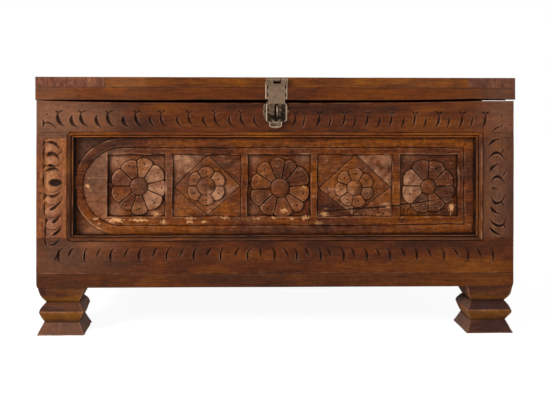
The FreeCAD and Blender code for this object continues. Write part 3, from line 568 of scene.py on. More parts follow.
def blurred(values, reach):
    """The mean of the points round each point, up to that many away."""
    for axis in (0, 1):
        pads = [(0, 0), (0, 0)]
        pads[axis] = (reach + 1, reach)
        total = np.cumsum(np.pad(values, pads, mode="edge"), axis=axis)
        size = total.shape[axis]
        window = 2 * reach + 1
        upper = np.take(total, range(window, size), axis=axis)
        lower = np.take(total, range(size - window), axis=axis)
        values = (upper - lower) / window
    return values


def net_piece(name, x, y, z, back, holes=None, **layers):
    """A closed piece whose front is a net of points, rows by columns, and whose back is flat. It starts as a grid
    that is set to the net, and its border is then extruded to the back and filled. holes are the net's faces that
    are cut away first, so that a hole goes right through."""
    rows, columns = x.shape
    bpy.ops.object.select_all(action="DESELECT")
    bpy.ops.mesh.primitive_grid_add(x_subdivisions=columns - 1, y_subdivisions=rows - 1, size=1.0)
    piece = bpy.context.object
    piece.name = piece.data.name = name
    unit = points_of(piece) + 0.5
    row = np.round(unit[:, 1] * (rows - 1)).astype(int)
    column = np.round(unit[:, 0] * (columns - 1)).astype(int)
    place_points(piece, np.stack([x[row, column], y[row, column], z[row, column]], axis=1))
    paint(piece, **{layer: values[row, column] for layer, values in layers.items()})
    bpy.ops.object.mode_set(mode="EDIT")
    if holes is not None:
        bpy.ops.mesh.select_mode(type="FACE")
        bpy.ops.mesh.select_all(action="DESELECT")
        bpy.ops.object.mode_set(mode="OBJECT")
        for face in piece.data.polygons:
            corners = list(face.vertices)
            face.select = bool(holes[row[corners].min(), column[corners].min()])
        bpy.ops.object.mode_set(mode="EDIT")
        bpy.ops.mesh.delete(type="FACE")
        bpy.ops.mesh.select_all(action="SELECT")
        bpy.ops.mesh.remove_doubles(threshold=0.000001)
    bpy.ops.mesh.select_mode(type="EDGE")
    bpy.ops.mesh.select_all(action="DESELECT")
    bpy.ops.mesh.select_non_manifold(extend=False, use_wire=False, use_boundary=True, use_multi_face=False,
                                     use_non_contiguous=False, use_verts=False)
    bpy.ops.mesh.extrude_edges_move()
    bpy.ops.transform.resize(value=(1.0, 0.0, 1.0), center_override=(0.0, back * MM, 0.0))
    if holes is None:
        bpy.ops.mesh.edge_face_add()
    else:
        bpy.ops.mesh.fill()
    bpy.ops.mesh.select_all(action="SELECT")
    bpy.ops.mesh.normals_make_consistent(inside=False)
    bpy.ops.object.mode_set(mode="OBJECT")
    smooth_shaded(piece, 42)
    return piece


def carved_piece(name, face, back, front=rail_front, first=0, last=None):
    """Makes the mesh of a carved face, or of some of its columns. front is the flat that heights are over."""
    part = slice(first, last)
    return net_piece(name, face.net_x[:, part], front - face.height[:, part], face.net_z[:, part], back,
                     dirt=face.dirt[:, part], rub=clamped(face.rub[:, part]), fresh=face.fresh[:, part],
                     tone=face.tone[:, part])


def moved(line, x, z):
    """A line of points, moved."""
    return [(a + x, b + z) for a, b in line]


def leaning(offsets, x, rise, lean):
    """The line of a cut at x, whose offsets across are stretched by its lean."""
    return [(x + across * lean, level + rise) for across, level in offsets]


seat_left = -457.2
seat_right = 455.5
seat_low = 204.0
seat_high = 442.0
seat_depth = 14.0
seat_corner = 12.0


def seat_for_moulding(face):
    """Sinks the part of a rail or post that the moulding lies on, with the round left corners of the seat."""
    x, z = face.net_x, face.net_z
    inside = (x > seat_left) & (x < seat_right) & (z > seat_low) & (z < seat_high)
    corner_x = seat_left + seat_corner
    for corner_z, above in ((seat_low + seat_corner, -1), (seat_high - seat_corner, 1)):
        away = np.hypot(x - corner_x, z - corner_z)
        corner = (x < corner_x) & ((z - corner_z) * above > 0)
        inside &= ~(corner & (away > seat_corner))
    face.height = np.where(inside, -seat_depth, face.height)


low_tall_left = (-475.1, -418.8, -362.4, -300.4, -240.5, -181.6, -122.6, -63.5)
low_short_left = (-451.3, -390.6, -329.8, -268.8, -210.0, -151.0, -89.7)
low_tall_right = (-4.2, 44.1, 96.9, 147.6, 198.4, 249.3, 309.1, 369.0, 422.3, 477.9)
low_short_right = (22.1, 68.3, 116.8, 169.7, 224.9, 280.3, 337.9, 397.8, 449.0)
tall_cut = ((-9.5, 190.5), (-1.0, 180.0), (0.0, 168.0), (-0.5, 160.5))
short_cut = ((-9.0, 190.5), (-2.0, 181.0), (2.5, 168.5))
low_left_corner = [(-475.9, 188.0), (-476.4, 174.7), (-484.6, 161.7)]
low_middle_upright = [(-37.0, 193.0), (-35.5, 180.0), (-34.0, 167.5)]
low_row_slope = {-1: 0.0, 1: -0.006}

rail_draw = np.random.default_rng(5)
bottom_face = CarvedFace((-rail_end, 132.5), (rail_end, 211.0), rail_net)
for side, places in ((-1, low_tall_left), (1, low_tall_right)):
    for x in places:
        rise = low_row_slope[side] * x
        stem = leaning(tall_cut, x, rise, side * rail_draw.uniform(0.8, 1.2))
        bottom_face.gouge(moved(stem, 3.4, 1.0), 10.0, 1.3, 0.55, 0.0)
        bottom_face.gouge(stem, rail_draw.uniform(4.8, 6.4), rail_draw.uniform(2.8, 3.8), 0.55)
        for toe_x in (-9.0, 8.0):
            toe = toe_x * rail_draw.uniform(0.85, 1.15)
            bottom_face.gouge([(x, 161.5 + rise), (x + toe * 0.5, 159.5 + rise), (x + toe, 155.5 + rise)],
                              rail_draw.uniform(2.8, 3.6), 1.3, 0.3, 0.5)
for side, places in ((-1, low_short_left), (1, low_short_right)):
    for x in places:
        cut = leaning(short_cut, x, low_row_slope[side] * x, side * rail_draw.uniform(0.8, 1.2))
        bottom_face.gouge(moved(cut, 3.2, 0.0), 8.5, 1.2, 0.6, 0.0)
        bottom_face.gouge(cut, rail_draw.uniform(4.4, 5.8), rail_draw.uniform(2.4, 3.2), 0.6)
bottom_face.gouge(low_left_corner, 6.0, 2.8, 0.6)
bottom_face.gouge(low_middle_upright, 6.0, 2.8, 0.5)
bottom_face.hole((495.0, 160.0), 1.4, 1.5)
bottom_face.stain(
    (-455.0, 176.0, 34.0, 26.0, -1.1), (-505.0, 178.0, 26.0, 18.0, 0.3), (-405.0, 190.0, 26.0, 16.0, 0.9),
    (-250.0, 170.0, 150.0, 60.0, -0.1), (60.0, 192.0, 180.0, 14.0, -0.6), (190.0, 150.0, 200.0, 18.0, 0.6),
    (330.0, 196.0, 120.0, 12.0, -0.9), (470.0, 150.0, 70.0, 20.0, 0.5),
)
bottom_face.bleach((-470.0, 160.0, 120.0, 60.0, 0.13), (-390.0, 198.0, 50.0, 10.0, 0.12))
bottom_face.gouge([(-496.0, 199.0), (-484.0, 198.0), (-470.0, 213.0)], 6.0, 2.6, 0.5)
bottom_face.gouge([(-504.5, 215.0), (-503.0, 204.0), (-499.0, 191.0)], 5.0, 2.4, 0.6)
bottom_face.weather(41)
seat_for_moulding(bottom_face)
bottom_rail = carved_piece("front_bottom_rail_carved", bottom_face, rail_back)
bottom_rail_wood = oiled_hardwood("carved_sheesham_bottom_rail", along_x, 42, rail_shades, -0.06)
fit(bottom_rail, "chest", "rail_wood", bottom_rail_wood, "front_bottom_rail")

for seed, node, grain in ((51, "back_bottom_rail", along_x), (52, "left_bottom_rail", along_y),
                          (53, "right_bottom_rail", along_y)):
    plain_member(node, "chest", "rail_wood", seed, grain, rail_shades)


# Corner posts. Short uprights tenoned between the rails. The two in front carry a column of thumbnail cuts: round
# a sunk eye on the left, and turned up and down from a small eye on the right. The back pair is plain.
post_low = 211.0
post_high = 429.0
post_inner = 438.0
post_outer = 523.0
post_back = -185.5
post_net = 0.9
post_grain = (11.0, 11.0, 1.0)
left_post_shades = ("#64392e", "#874b28", "#a5642d")
right_post_shades = ("#4b2b22", "#623722", "#774821")
left_post_arcs = (
    [(-501.3, 419.0), (-489.1, 420.1), (-479.2, 414.4), (-472.7, 405.5)],
    [(-500.2, 367.8), (-489.1, 370.0), (-481.4, 364.5)],
    [(-504.7, 356.8), (-492.2, 362.2), (-482.4, 362.6), (-473.8, 356.7)],
    [(-498.0, 306.7), (-484.8, 303.4), (-470.5, 313.3)],
    [(-494.8, 274.7), (-484.8, 277.9), (-470.5, 291.4)],
    [(-489.1, 247.0), (-481.6, 250.2), (-471.6, 261.3)],
    [(-489.1, 218.1), (-478.1, 224.5), (-469.2, 235.8)],
)
left_post_sides = (
    [(-503.6, 412.2), (-507.5, 396.6), (-504.7, 376.8)],
    [(-505.8, 356.8), (-507.5, 334.6), (-504.7, 312.4)],
    [(-503.0, 292.3), (-506.0, 279.3), (-504.1, 260.8)],
    [(-500.8, 241.2), (-503.9, 228.1), (-501.9, 213.8)],
)
left_post_notches = (
    [(-509.0, 426.2), (-501.4, 418.6), (-509.0, 408.6)],
    [(-509.0, 375.4), (-499.2, 367.8), (-509.0, 360.1)],
    [(-508.0, 311.2), (-495.9, 303.4), (-508.0, 291.4)],
    [(-504.7, 257.9), (-497.0, 250.3), (-504.7, 233.7)],
    [(-505.8, 219.0), (-500.1, 214.0), (-505.0, 211.5)],
)
right_post_arcs = (
    [(467.8, 411.6), (477.2, 422.7), (491.2, 427.0)],
    [(469.1, 385.1), (477.2, 394.8), (486.1, 397.3), (495.0, 392.8), (502.8, 380.7)],
    [(469.1, 355.3), (477.2, 365.7), (489.4, 373.2)],
    [(472.7, 332.1), (480.5, 342.7), (488.3, 344.5), (496.1, 340.2), (502.8, 327.6)],
    [(471.6, 301.2), (478.3, 289.0), (486.1, 285.7), (496.1, 290.1), (502.8, 303.3)],
    [(471.6, 279.8), (479.4, 268.5), (493.2, 262.9)],
    [(471.6, 251.1), (482.7, 238.2), (498.1, 237.5), (505.0, 255.8)],
    [(470.2, 234.3), (479.4, 222.8), (495.7, 215.0)],
)
right_post_ticks = (
    [(495.0, 395.0), (498.5, 401.0), (500.6, 407.2)],
    [(497.2, 344.2), (502.5, 352.0), (506.1, 361.9)],
    [(498.3, 240.4), (503.5, 234.5), (507.2, 228.2)],
    [(495.0, 289.0), (499.0, 284.5), (501.7, 279.0)],
)

left_post_scales = ((403.0, 13.0), (378.0, 10.0), (333.0, 22.0), (296.0, 12.0), (268.0, 12.0), (241.0, 11.0))

left_face = CarvedFace((-post_outer, post_low), (-post_inner, post_high), post_net)
column = (left_face.net_x + 488.0) / 20.0
left_face.height -= 3.4 * (clamped((column + 1.15) / 0.45) * clamped((1.5 - column) / 0.75))
left_face.height += 1.4 * clamped(1.0 - column ** 2)
scale_x = left_face.net_x + 487.0
for middle_z, half_height in left_post_scales:
    scale_z = (left_face.net_z - middle_z) / half_height
    scale = np.sqrt(clamped(1.0 - scale_z ** 2 - (scale_x / 18.0) ** 2))
    left_face.height += scale * (3.6 - 2.0 * scale_z)
    # A painted highlight on the left side of each scale, towards the light.
    left_face.rub += 0.16 * scale * clamped(0.5 - scale_x / 24.0)
for arc in left_post_arcs:
    left_face.gouge(moved(arc, 0.0, -1.2), 8.4, 5.0, 0.35, 0.82)
left_face.gouge([(-499.0, 388.0), (-492.6, 394.5), (-482.7, 393.4), (-472.8, 380.2)], 11.5, 5.0, 0.25)
for line in left_post_sides:
    left_face.gouge(line, 5.0, 2.4, 0.5, 0.75)
for corners in left_post_notches:
    left_face.notch(corners, 3.0)
from_eye = np.hypot((left_face.net_x + 482.0) / 15.0, (left_face.net_z - 332.0) / 9.0)
left_face.height -= 5.0 * clamped(1.0 - from_eye) ** 0.7
left_face.soil(0.95 * clamped((1.08 - from_eye) / 0.3))
left_face.hole((-513.6, 309.1), 1.6, 2.0)
left_face.stain((-466.0, 330.0, 16.0, 160.0, 0.1), (-519.0, 330.0, 9.0, 140.0, -0.6))
left_face.bleach((-487.0, 320.0, 19.0, 130.0, 0.26))
left_face.weather(61, 0.8, 0.4, 0.4)
seat_for_moulding(left_face)
left_post = carved_piece("front_left_post_carved", left_face, post_back)
left_post_wood = oiled_hardwood("carved_sheesham_left_post", post_grain, 62, left_post_shades, 0.14, mottle=0.2)
fit(left_post, "chest", "post_wood", left_post_wood, "front_left_post")

right_face = CarvedFace((post_inner, post_low), (post_outer, post_high), post_net)
for arc in right_post_arcs:
    right_face.gouge(moved(arc, -1.0, -4.6), 5.0, -1.1, 0.5, 0.0)
    right_face.gouge(arc, 7.0, 3.6, 0.4, 0.95)
for tick in right_post_ticks:
    right_face.gouge(tick, 3.6, 1.6, 0.3)
right_face.gouge([(472.5, 317.5), (479.0, 318.8), (487.5, 315.0)], 7.5, 2.6, 0.5, 0.6)
right_face.stain((480.0, 330.0, 60.0, 130.0, 0.1))
right_face.bleach((485.0, 320.0, 30.0, 120.0, 0.14))
right_face.weather(63, 0.4, 0.2, 0.4)
seat_for_moulding(right_face)
right_post = carved_piece("front_right_post_carved", right_face, post_back)
right_post_wood = oiled_hardwood("carved_sheesham_right_post", post_grain, 64, right_post_shades)
fit(right_post, "chest", "post_wood", right_post_wood, "front_right_post")

for seed, node in ((66, "back_left_post"), (67, "back_right_post")):
    plain_member(node, "chest", "post_wood", seed, post_grain, rail_shades, levels=(post_low, post_high), edge=0.8)


# Side and back boards. Two sawn boards to each side and to the back, one above the other, slipped into grooves in
# the rails and posts before the carcass is knocked together.
for seed, node, grain in (
    (71, "left_lower_board", along_y), (72, "left_upper_board", along_y), (73, "right_lower_board", along_y),
    (74, "right_upper_board", along_y), (75, "back_lower_board", along_x), (76, "back_upper_board", along_x),
):
    plain_member(node, "chest", "board_wood", seed, grain, plank_shades, 0.05, work="sawn", edge=1.0)


# Carved front panel. One older board, sunk into the frame: a border that runs round into an arch on the left, five
# sunk squares, a flower in each, two of them on a low diamond, all dry, rubbed and chipped along the lower edge.
panel_face_y = -217.5
panel_back_y = -197.5
panel_low = (-443.0, 212.0)
panel_high = (443.0, 434.0)
panel_net = 0.78
border_left_middle = -339.2
border_low = 214.3
border_high = 428.0
border_right = 438.0
border_width = 20.0
border_radius = (border_high - border_low) / 2
border_middle = (border_high + border_low) / 2
pocket_low = 254.5
pocket_high = 392.5
pocket_sides = ((-372.3, -244.3), (-229.1, -77.5), (-64.8, 77.0), (90.2, 258.2), (274.3, 405.2))
pocket_sink = 9.0
petal_rise = 6.0
diamond_rise = 3.6
dome_rise = 7.4
# For each flower, rubbed gives each petal its pale wear together with painted light, and tones its darker or lighter
# wood.
flowers = (
    dict(at=(-302.6, 321.6), reach=62.5, dome=19.5, cuts=(14, 57, 95, 137, 180, 220, 252, 290, 337), dot=0.80,
         rubbed=(0.42, 0.22, 0.0, 0.08, 0.05, 0.0, 0.1, 0.45, 0.45), tones=(0, 0.5, -0.3, 0.3, 0.5, -0.2, 0.2, 0, 0)),
    dict(at=(-154.6, 322.0), reach=43.0, dome=19.5, cuts=(0, 60, 120, 180, 240, 300), dot=0.72,
         rubbed=(0.4, 0.12, 0.1, 0.2, 0.12, 0.5), tones=(0.2, 0.4, 0.5, 0.3, -0.1, 0.0)),
    dict(at=(8.4, 317.9), reach=67.0, dome=21.0, cuts=(6, 51, 79, 113, 147, 184, 222, 256, 300, 328), dot=0.80,
         rubbed=(0.04, 0.0, 0.03, 0.05, 0.05, 0.07, 0.03, 0.08, 0.14, 0.12),
         tones=(-0.8, -0.7, -0.5, 0.1, 0.5, 0.0, -0.2, 0.1, 0.2, 0.6)),
    dict(at=(173.3, 318.2), reach=44.0, dome=17.0, cuts=(2, 58, 112, 160, 214, 262, 312), dot=0.70,
         rubbed=(0.08, 0.12, 0.15, 0.15, 0.1, 0.05, 0.1), tones=(0.1, 0.5, 0.3, 0.1, 0.2, 0.2, -0.2)),
    dict(at=(338.6, 320.4), reach=60.0, dome=17.0, cuts=(2, 45, 88, 132, 178, 226, 270, 316), dot=0.74,
         rubbed=(0.04, 0.04, 0.04, 0.42, 0.5, 0.1, 0.12, 0.05), tones=(0.3, 0.0, 0.0, 0.1, 0.1, -0.9, 0.0, -0.6)),
)
# For each diamond, rubbed and tones paint light on its four facets, and corner_rubbed on the slopes beyond them, for
# how each faces the lamp.
diamonds = (
    dict(at=(-154.6, 322.0), tips=((-151.4, 391.5), (-79.5, 322.3), (-151.4, 256.0), (-226.3, 320.1)),
         rubbed=(0.1, 0.42, 0.1, 0.06), tones=(0.8, 0.1, 0.3, 0.0), corner_rubbed=(0.05, 0.0, 0.12, 0.5)),
    dict(at=(173.3, 318.2), tips=((176.9, 391.5), (255.0, 318.7), (170.5, 256.5), (94.0, 316.5)),
         rubbed=(0.06, 0.1, 0.4, 0.05), tones=(0.2, 0.1, 0.3, 0.6), corner_rubbed=(0.4, 0.12, 0.0, 0.08)),
)

panel = CarvedFace(panel_low, panel_high, panel_net)
px, pz = panel.drawn_x, panel.net_z
net = on_front(px, pz)
wander = 0.7 * ripple(net, 60.0, 81)

# The border, by the distance in from its outer edge: a crowned band, a groove, and a flat band inside that
low_edge = border_low + 3.4 * clamped((px - 230.0) / 190.0)
depth_in = np.minimum(np.minimum(border_high - pz, pz - low_edge), border_right - px)
arch = border_radius - np.hypot(px - border_left_middle, pz - border_middle)
in_arch = px < border_left_middle
depth_in = np.where(in_arch, arch, depth_in) + wander
share_in = clamped(depth_in / border_width)
low_bead = clamped((border_low + border_width + 6.0 - pz) / 4.0) * clamped((px + 350.0) / 60.0)
crown = (1.6 + 2.6 * low_bead) * np.sin(math.pi * share_in) ** 0.8 - share_in
panel.height = np.where(depth_in < border_width, crown, -0.4)
corner_ground = clamped(-depth_in / 0.9) * in_arch
panel.height -= 6.0 * corner_ground
panel.soil(0.1 * corner_ground)
panel.tone -= 0.6 * corner_ground
panel.rub += 0.08 * corner_ground
groove = clamped(1.0 - np.abs(depth_in - border_width - 1.0) / 1.7)
panel.height -= 2.6 * groove
panel.soil(0.9 * groove)
# The lower border's bead gets painted shade along its lower edge and a painted highlight a little above its middle.
panel.soil(0.5 * low_bead * clamped(1.0 - share_in / 0.3) * (depth_in > 0.0))
panel.tone += 0.2 * low_bead * bell(share_in, 0.62, 0.22)
half_moon = (depth_in > border_width + 5.0) & (px < -373.0)
panel.rub += 0.2 * half_moon
panel.tone -= 0.35 * half_moon * (pz > 339.0)
panel.rub += 0.35 * half_moon * bell(pz, 340.5, 1.2)

# The squares. Each is sunk, and has a low diamond in it or none, then the petals, the cuts between them, their
# drilled dots and the dome
for number, ((x0, x1), flower) in enumerate(zip(pocket_sides, flowers)):
    cut_x = ripple(net, 45.0, 90 + number) * 0.8
    cut_z = ripple(net, 45.0, 96 + number) * 0.8
    inward = np.minimum(np.minimum(px - x0, x1 - px) + cut_x, np.minimum(pz - pocket_low, pocket_high - pz) + cut_z)
    pocket = clamped(inward / 1.3)
    panel.height = panel.height * (1 - pocket) - pocket_sink * pocket
    # Painted shade along the walls of each square: widest at its left wall, where the light from the left doesn't
    # reach, and wider in the first two squares.
    wall_dirt = bell(px, x0, 4.2 if number < 2 else 3.0) * (px > x0 - 0.6)
    wall_dirt = np.maximum(wall_dirt, 0.8 * bell(px, x1, 2.2) * (px < x1 + 0.6))
    wall_dirt = np.maximum(wall_dirt, 0.6 * bell(pz, pocket_high, 1.8) * (pz < pocket_high + 0.5))
    panel.soil(wall_dirt * pocket)
    centre_x, centre_z = flower["at"]
    diamond = next((d for d in diamonds if d["at"] == flower["at"]), None)
    if diamond is not None:
        tips = np.array(diamond["tips"])
        side_depths = []
        for a, b in zip(tips, np.roll(tips, -1, axis=0)):
            run = (b - a) / np.linalg.norm(b - a)
            side_depths.append(run[1] * (px - a[0]) - run[0] * (pz - a[1]))
        inner, facet_side = np.min(side_depths, axis=0), np.argmin(side_depths, axis=0)
        facet = clamped(inner / 40.0) * 8.5
        corner_slope = clamped(-inner / 34.0) * 5.5
        seam = clamped(1.0 - np.abs(inner) / 1.6)
        low_part = inward > 1.2
        panel.height = np.where(low_part, -pocket_sink + 0.8 + facet + corner_slope - 1.6 * seam, panel.height)
        panel.soil(0.85 * seam * low_part)
        # Each facet and each corner slope gets its own painted light, for how it faces the lamp.
        facet_light = low_part * np.where(inner > 0, np.array(diamond["rubbed"])[facet_side],
                                       np.array(diamond["corner_rubbed"])[facet_side])
        panel.rub += facet_light * (0.7 + 0.6 * ripple(net, 24.0, 128 + number))
        panel.tone += low_part * (inner > 0) * np.array(diamond["tones"])[facet_side]

    angle = np.degrees(np.arctan2(pz - centre_z, px - centre_x)) % 360.0
    away = np.hypot(px - centre_x, pz - centre_z)
    off_dome = away > flower["dome"]
    cuts = np.array(flower["cuts"], float)
    ends = np.append(cuts, cuts[0] + 360.0)
    turned = np.where(angle < cuts[0], angle + 360.0, angle)
    petal = np.clip(np.searchsorted(cuts, turned, side="right") - 1, 0, len(cuts) - 1)
    start, stop = ends[petal], ends[petal + 1]
    across = (2 * (turned - start) / (stop - start)) - 1.0
    roundness = 0.10 if diamond is None else 0.16
    reach = flower["reach"] * (1.0 - roundness * np.abs(across) ** 2.4) * (1.0 + 0.02 * np.sin(petal * 2.3 + number))
    lift = -pocket_sink + petal_rise if diamond is None else -pocket_sink + diamond_rise + petal_rise - 0.6
    body = clamped((reach - away) / 1.3)
    cup = 0.9 * np.cos(across * math.pi / 2) * clamped((away - flower["dome"]) / flower["reach"])
    tilt = 0.9 * np.sin(petal * 1.9 + number) * across
    edge_drop = 1.1 * clamped(1.0 - (reach - away) / 6.0) ** 2
    petal_top = panel.height * (1 - body) + (lift - cup + tilt - edge_drop) * body
    panel.height = np.where(body > 0, np.maximum(panel.height, petal_top), panel.height)
    on_petal = body * off_dome
    panel.rub += on_petal * np.array(flower["rubbed"])[petal] * (0.8 + 0.5 * ripple(net, 22.0, 110 + number))
    panel.tone += on_petal * np.array(flower["tones"])[petal]
    # Dirt and a painted shadow round the foot of each petal; the shadow is wider and lies further out on the flower's
    # right side.
    shadow_side = clamped((px - centre_x) / reach)
    petal_dirt_and_shadow = clamped(1.0 - np.abs(reach - away + 0.9 + 0.9 * shadow_side) / (1.7 + 1.1 * shadow_side))
    panel.soil(0.75 * (petal_dirt_and_shadow * (inward > 1.0)))
    gap = np.radians((1.0 - np.abs(across)) * (stop - start) / 2) * away
    vein = clamped(1.0 - gap / (2.1 + 0.5 * ripple(net, 15.0, 125 + number)))
    vein = vein * (away < reach + 1.0) * off_dome * (np.abs(across) > 0.5)
    panel.height -= 2.8 * vein
    panel.soil(0.92 * vein)
    for first, second in zip(ends, ends[1:]):
        bearing = math.radians((first + second) / 2)
        panel.hole((centre_x + flower["dot"] * flower["reach"] * math.cos(bearing),
                    centre_z + flower["dot"] * flower["reach"] * math.sin(bearing)), 1.7, 2.6)
    on_dome = away < flower["dome"]
    dome = clamped(1.0 - (away / flower["dome"]) ** 2)
    ring = clamped(1.0 - np.abs(away - flower["dome"] - 0.6) / 1.6)
    panel.height = np.where(on_dome, lift - 0.6 + dome_rise * dome ** 0.7, panel.height - 1.6 * ring)
    # A painted shadow on the right side of each dome, and dirt in the ring round its foot.
    dome_shadow = np.clip((px - centre_x) / flower["dome"] - 0.5, 0.0, 0.5) * 1.3 * on_dome
    panel.soil(np.maximum(0.75 * ring, dome_shadow))
    panel.tone += 0.15 * on_dome
    panel.rub += 0.03 * on_dome

# Slips of the tools, scratches and rubbed specks all over the squares
mark_draw = np.random.default_rng(173)
for x0, x1 in pocket_sides:
    for _ in range(46):
        x, z = mark_draw.uniform(x0 + 4.0, x1 - 4.0), mark_draw.uniform(pocket_low + 4.0, pocket_high - 4.0)
        bearing, length = mark_draw.uniform(0.0, math.pi), mark_draw.uniform(3.0, 10.0)
        bend = mark_draw.uniform(-2.0, 2.0)
        run_x, run_z = length * math.cos(bearing), length * math.sin(bearing)
        middle = (x + run_x / 2 - bend * math.sin(bearing), z + run_z / 2 + bend * math.cos(bearing))
        panel.gouge([(x, z), middle, (x + run_x, z + run_z)], mark_draw.uniform(1.6, 2.8),
                    mark_draw.uniform(0.5, 1.3), 0.5, mark_draw.uniform(0.3, 0.7))
    for _ in range(24):
        panel.bleach((mark_draw.uniform(x0 + 4.0, x1 - 4.0), mark_draw.uniform(pocket_low + 2.0, pocket_high - 4.0),
                      mark_draw.uniform(1.5, 6.0), mark_draw.uniform(1.0, 2.2), mark_draw.uniform(0.15, 0.4)))

# The break that runs through the fourth and fifth squares, and what the years tore off along the lower edge
panel.gouge([(100.0, 262.0), (152.6, 269.2), (241.8, 275.6), (329.0, 286.6), (366.0, 290.7)], 4.2, 2.4, 0.5, 0.9)
panel.chip((205.0, 264.0), (34.0, 8.0), 2.2, 0.0, 130)
panel.chip((330.0, 268.0), (40.0, 9.0), 1.8, 0.0, 131)
panel.chip((-60.0, 250.0), (46.0, 4.5), 1.4, 0.1, 132)
chips = (
    (-397.4, 251.4, 8.8, 2.6, 0.7), (-388.6, 240.3, 4.4, 1.8, 0.8), (-353.5, 247.9, 17.7, 4.6, 1.0),
    (-307.4, 247.7, 20.0, 2.2, 1.0), (-265.7, 259.7, 8.8, 4.0, 0.9), (-248.1, 244.2, 7.8, 4.8, 0.75),
    (-190.8, 243.9, 8.8, 2.8, 0.85), (-160.0, 243.8, 8.0, 2.8, 0.85), (-190.0, 251.6, 12.0, 2.2, 0.6),
    (-113.6, 252.5, 10.0, 3.0, 0.6), (-42.8, 251.1, 8.8, 2.6, 0.85), (-7.4, 252.1, 7.0, 2.6, 0.75),
    (17.5, 267.9, 6.4, 4.6, 0.9), (34.8, 250.8, 5.0, 2.6, 0.9), (63.6, 252.9, 8.6, 4.2, 0.7),
    (105.9, 259.4, 8.0, 4.6, 0.75), (90.3, 240.6, 10.0, 3.0, 0.4), (391.7, 272.8, 5.0, 12.0, 1.0),
    (-415.0, 322.6, 4.4, 4.4, 0.9), (61.4, 319.1, 7.0, 3.4, 0.55), (248.5, 275.5, 6.0, 4.2, 0.5),
    (-168.8, 380.8, 5.0, 2.4, 0.35), (83.6, 300.5, 5.0, 2.6, 0.3), (243.0, 283.0, 10.0, 2.2, 0.5),
    (-408.0, 314.0, 3.4, 2.0, 0.5),
)
for seed, (x, z, wide, high, paleness) in enumerate(chips, 140):
    panel.chip((x, z), (wide, high), 1.3, paleness, seed)
low_arch = (np.abs(arch - 1.5) < 2.2) & in_arch & (pz < 268.0) & (pz > 228.0)
panel.fresh = np.maximum(panel.fresh, 0.75 * low_arch * clamped(0.6 + 0.5 * ripple(net, 14.0, 170)))
panel.bleach(
    (-350.0, 378.0, 30.0, 20.0, 0.45), (-262.0, 338.0, 30.0, 46.0, 0.30), (-356.0, 268.0, 18.0, 16.0, 0.42),
    (-280.0, 272.0, 30.0, 20.0, 0.25), (-352.0, 384.0, 16.0, 12.0, 0.2), (-50.0, 380.0, 14.0, 16.0, 0.35),
    (62.0, 384.0, 16.0, 12.0, 0.35), (-50.0, 270.0, 14.0, 20.0, 0.2), (-205.0, 372.0, 24.0, 24.0, 0.25),
    (292.0, 316.0, 16.0, 26.0, 0.35), (300.0, 386.0, 24.0, 12.0, 0.2), (-398.0, 225.0, 22.0, 12.0, 0.3),
)
panel.stain(
    (-300.0, 300.0, 60.0, 60.0, 0.2), (-205.0, 275.0, 18.0, 24.0, 1.2), (-110.0, 375.0, 30.0, 20.0, -0.7),
    (-120.0, 275.0, 30.0, 18.0, 0.9), (0.0, 330.0, 60.0, 40.0, -0.15), (60.0, 300.0, 20.0, 40.0, 0.5),
    (84.0, 320.0, 8.0, 60.0, 0.8), (267.0, 320.0, 8.0, 60.0, 0.9), (130.0, 385.0, 36.0, 16.0, 0.5),
    (150.0, 300.0, 50.0, 34.0, 0.1), (250.0, 250.0, 190.0, 12.0, 0.5), (340.0, 300.0, 60.0, 34.0, -0.35),
    (360.0, 372.0, 44.0, 24.0, -0.4), (160.0, 418.0, 260.0, 9.0, 0.8), (-160.0, 418.0, 120.0, 8.0, 0.6),
    (-80.0, 400.0, 150.0, 8.0, 0.1), (-370.0, 420.0, 90.0, 14.0, -0.9), (-400.0, 340.0, 30.0, 40.0, -0.7),
    (-388.0, 368.0, 26.0, 20.0, -0.6), (-396.0, 300.0, 24.0, 30.0, 0.1), (-310.0, 227.0, 90.0, 10.0, 1.0),
    (5.0, 227.0, 90.0, 8.0, -1.4), (190.0, 227.0, 80.0, 8.0, -1.0), (366.0, 227.0, 40.0, 9.0, 0.8),
    (-398.0, 225.0, 26.0, 14.0, 1.3), (428.0, 320.0, 9.0, 90.0, -0.2),
)
panel.weather(171, 0.45, 0.22, 0.3)

panel_shades = ("#472415", "#693313", "#84450c")
panel_wood = oiled_hardwood("old_carved_sheesham_panel", along_x, 172, panel_shades, streaks=0.75, gloss=0.48,
                            mottle=0.24)
bay_ends = [int(np.argmin(np.abs(px[0] - (a[1] + b[0]) / 2))) for a, b in zip(pocket_sides, pocket_sides[1:])]
for number, (first, last) in enumerate(zip([0] + bay_ends, bay_ends + [len(panel.x) - 1]), 1):
    bay = carved_piece("carved_front_panel_bay_" + str(number), panel, panel_back_y, panel_face_y, first, last + 1)
    fit(bay, "chest", "panel_wood", panel_wood, "carved_front_panel")


# Panel moulding. Four planed strips round the panel, mitred at the corners and sprung into the seat: a flat slope,
# a bead, and a thin lip at the panel, all a little wavy from the hand plane, with dirt and painted shade in the
# quirks and painted shade in the open joint at the panel.
strip_shares = np.array([0.0, 0.04, 0.07, 0.10, 0.13, 0.20, 0.30, 0.40, 0.48, 0.54, 0.575, 0.60, 0.63, 0.66, 0.69,
                         0.73, 0.77, 0.81, 0.85, 0.885, 0.915, 0.94, 0.97, 1.0])
strip_sinks = np.array([3.4, 3.2, 2.0, 0.9, 0.7, 1.2, 2.2, 3.2, 4.2, 5.2, 6.8, 7.2, 6.6, 5.2, 4.5,
                        4.2, 4.2, 4.6, 5.6, 7.6, 10.5, 12.4, 12.8, 13.0])
strip_dirt = np.array([0.85, 0.8, 0.4, 0.05, 0.0, 0.0, 0.0, 0.0, 0.1, 0.45, 0.9, 1.0, 0.9, 0.3, 0.0,
                       0.0, 0.0, 0.0, 0.2, 0.7, 0.95, 1.0, 1.0, 1.0])
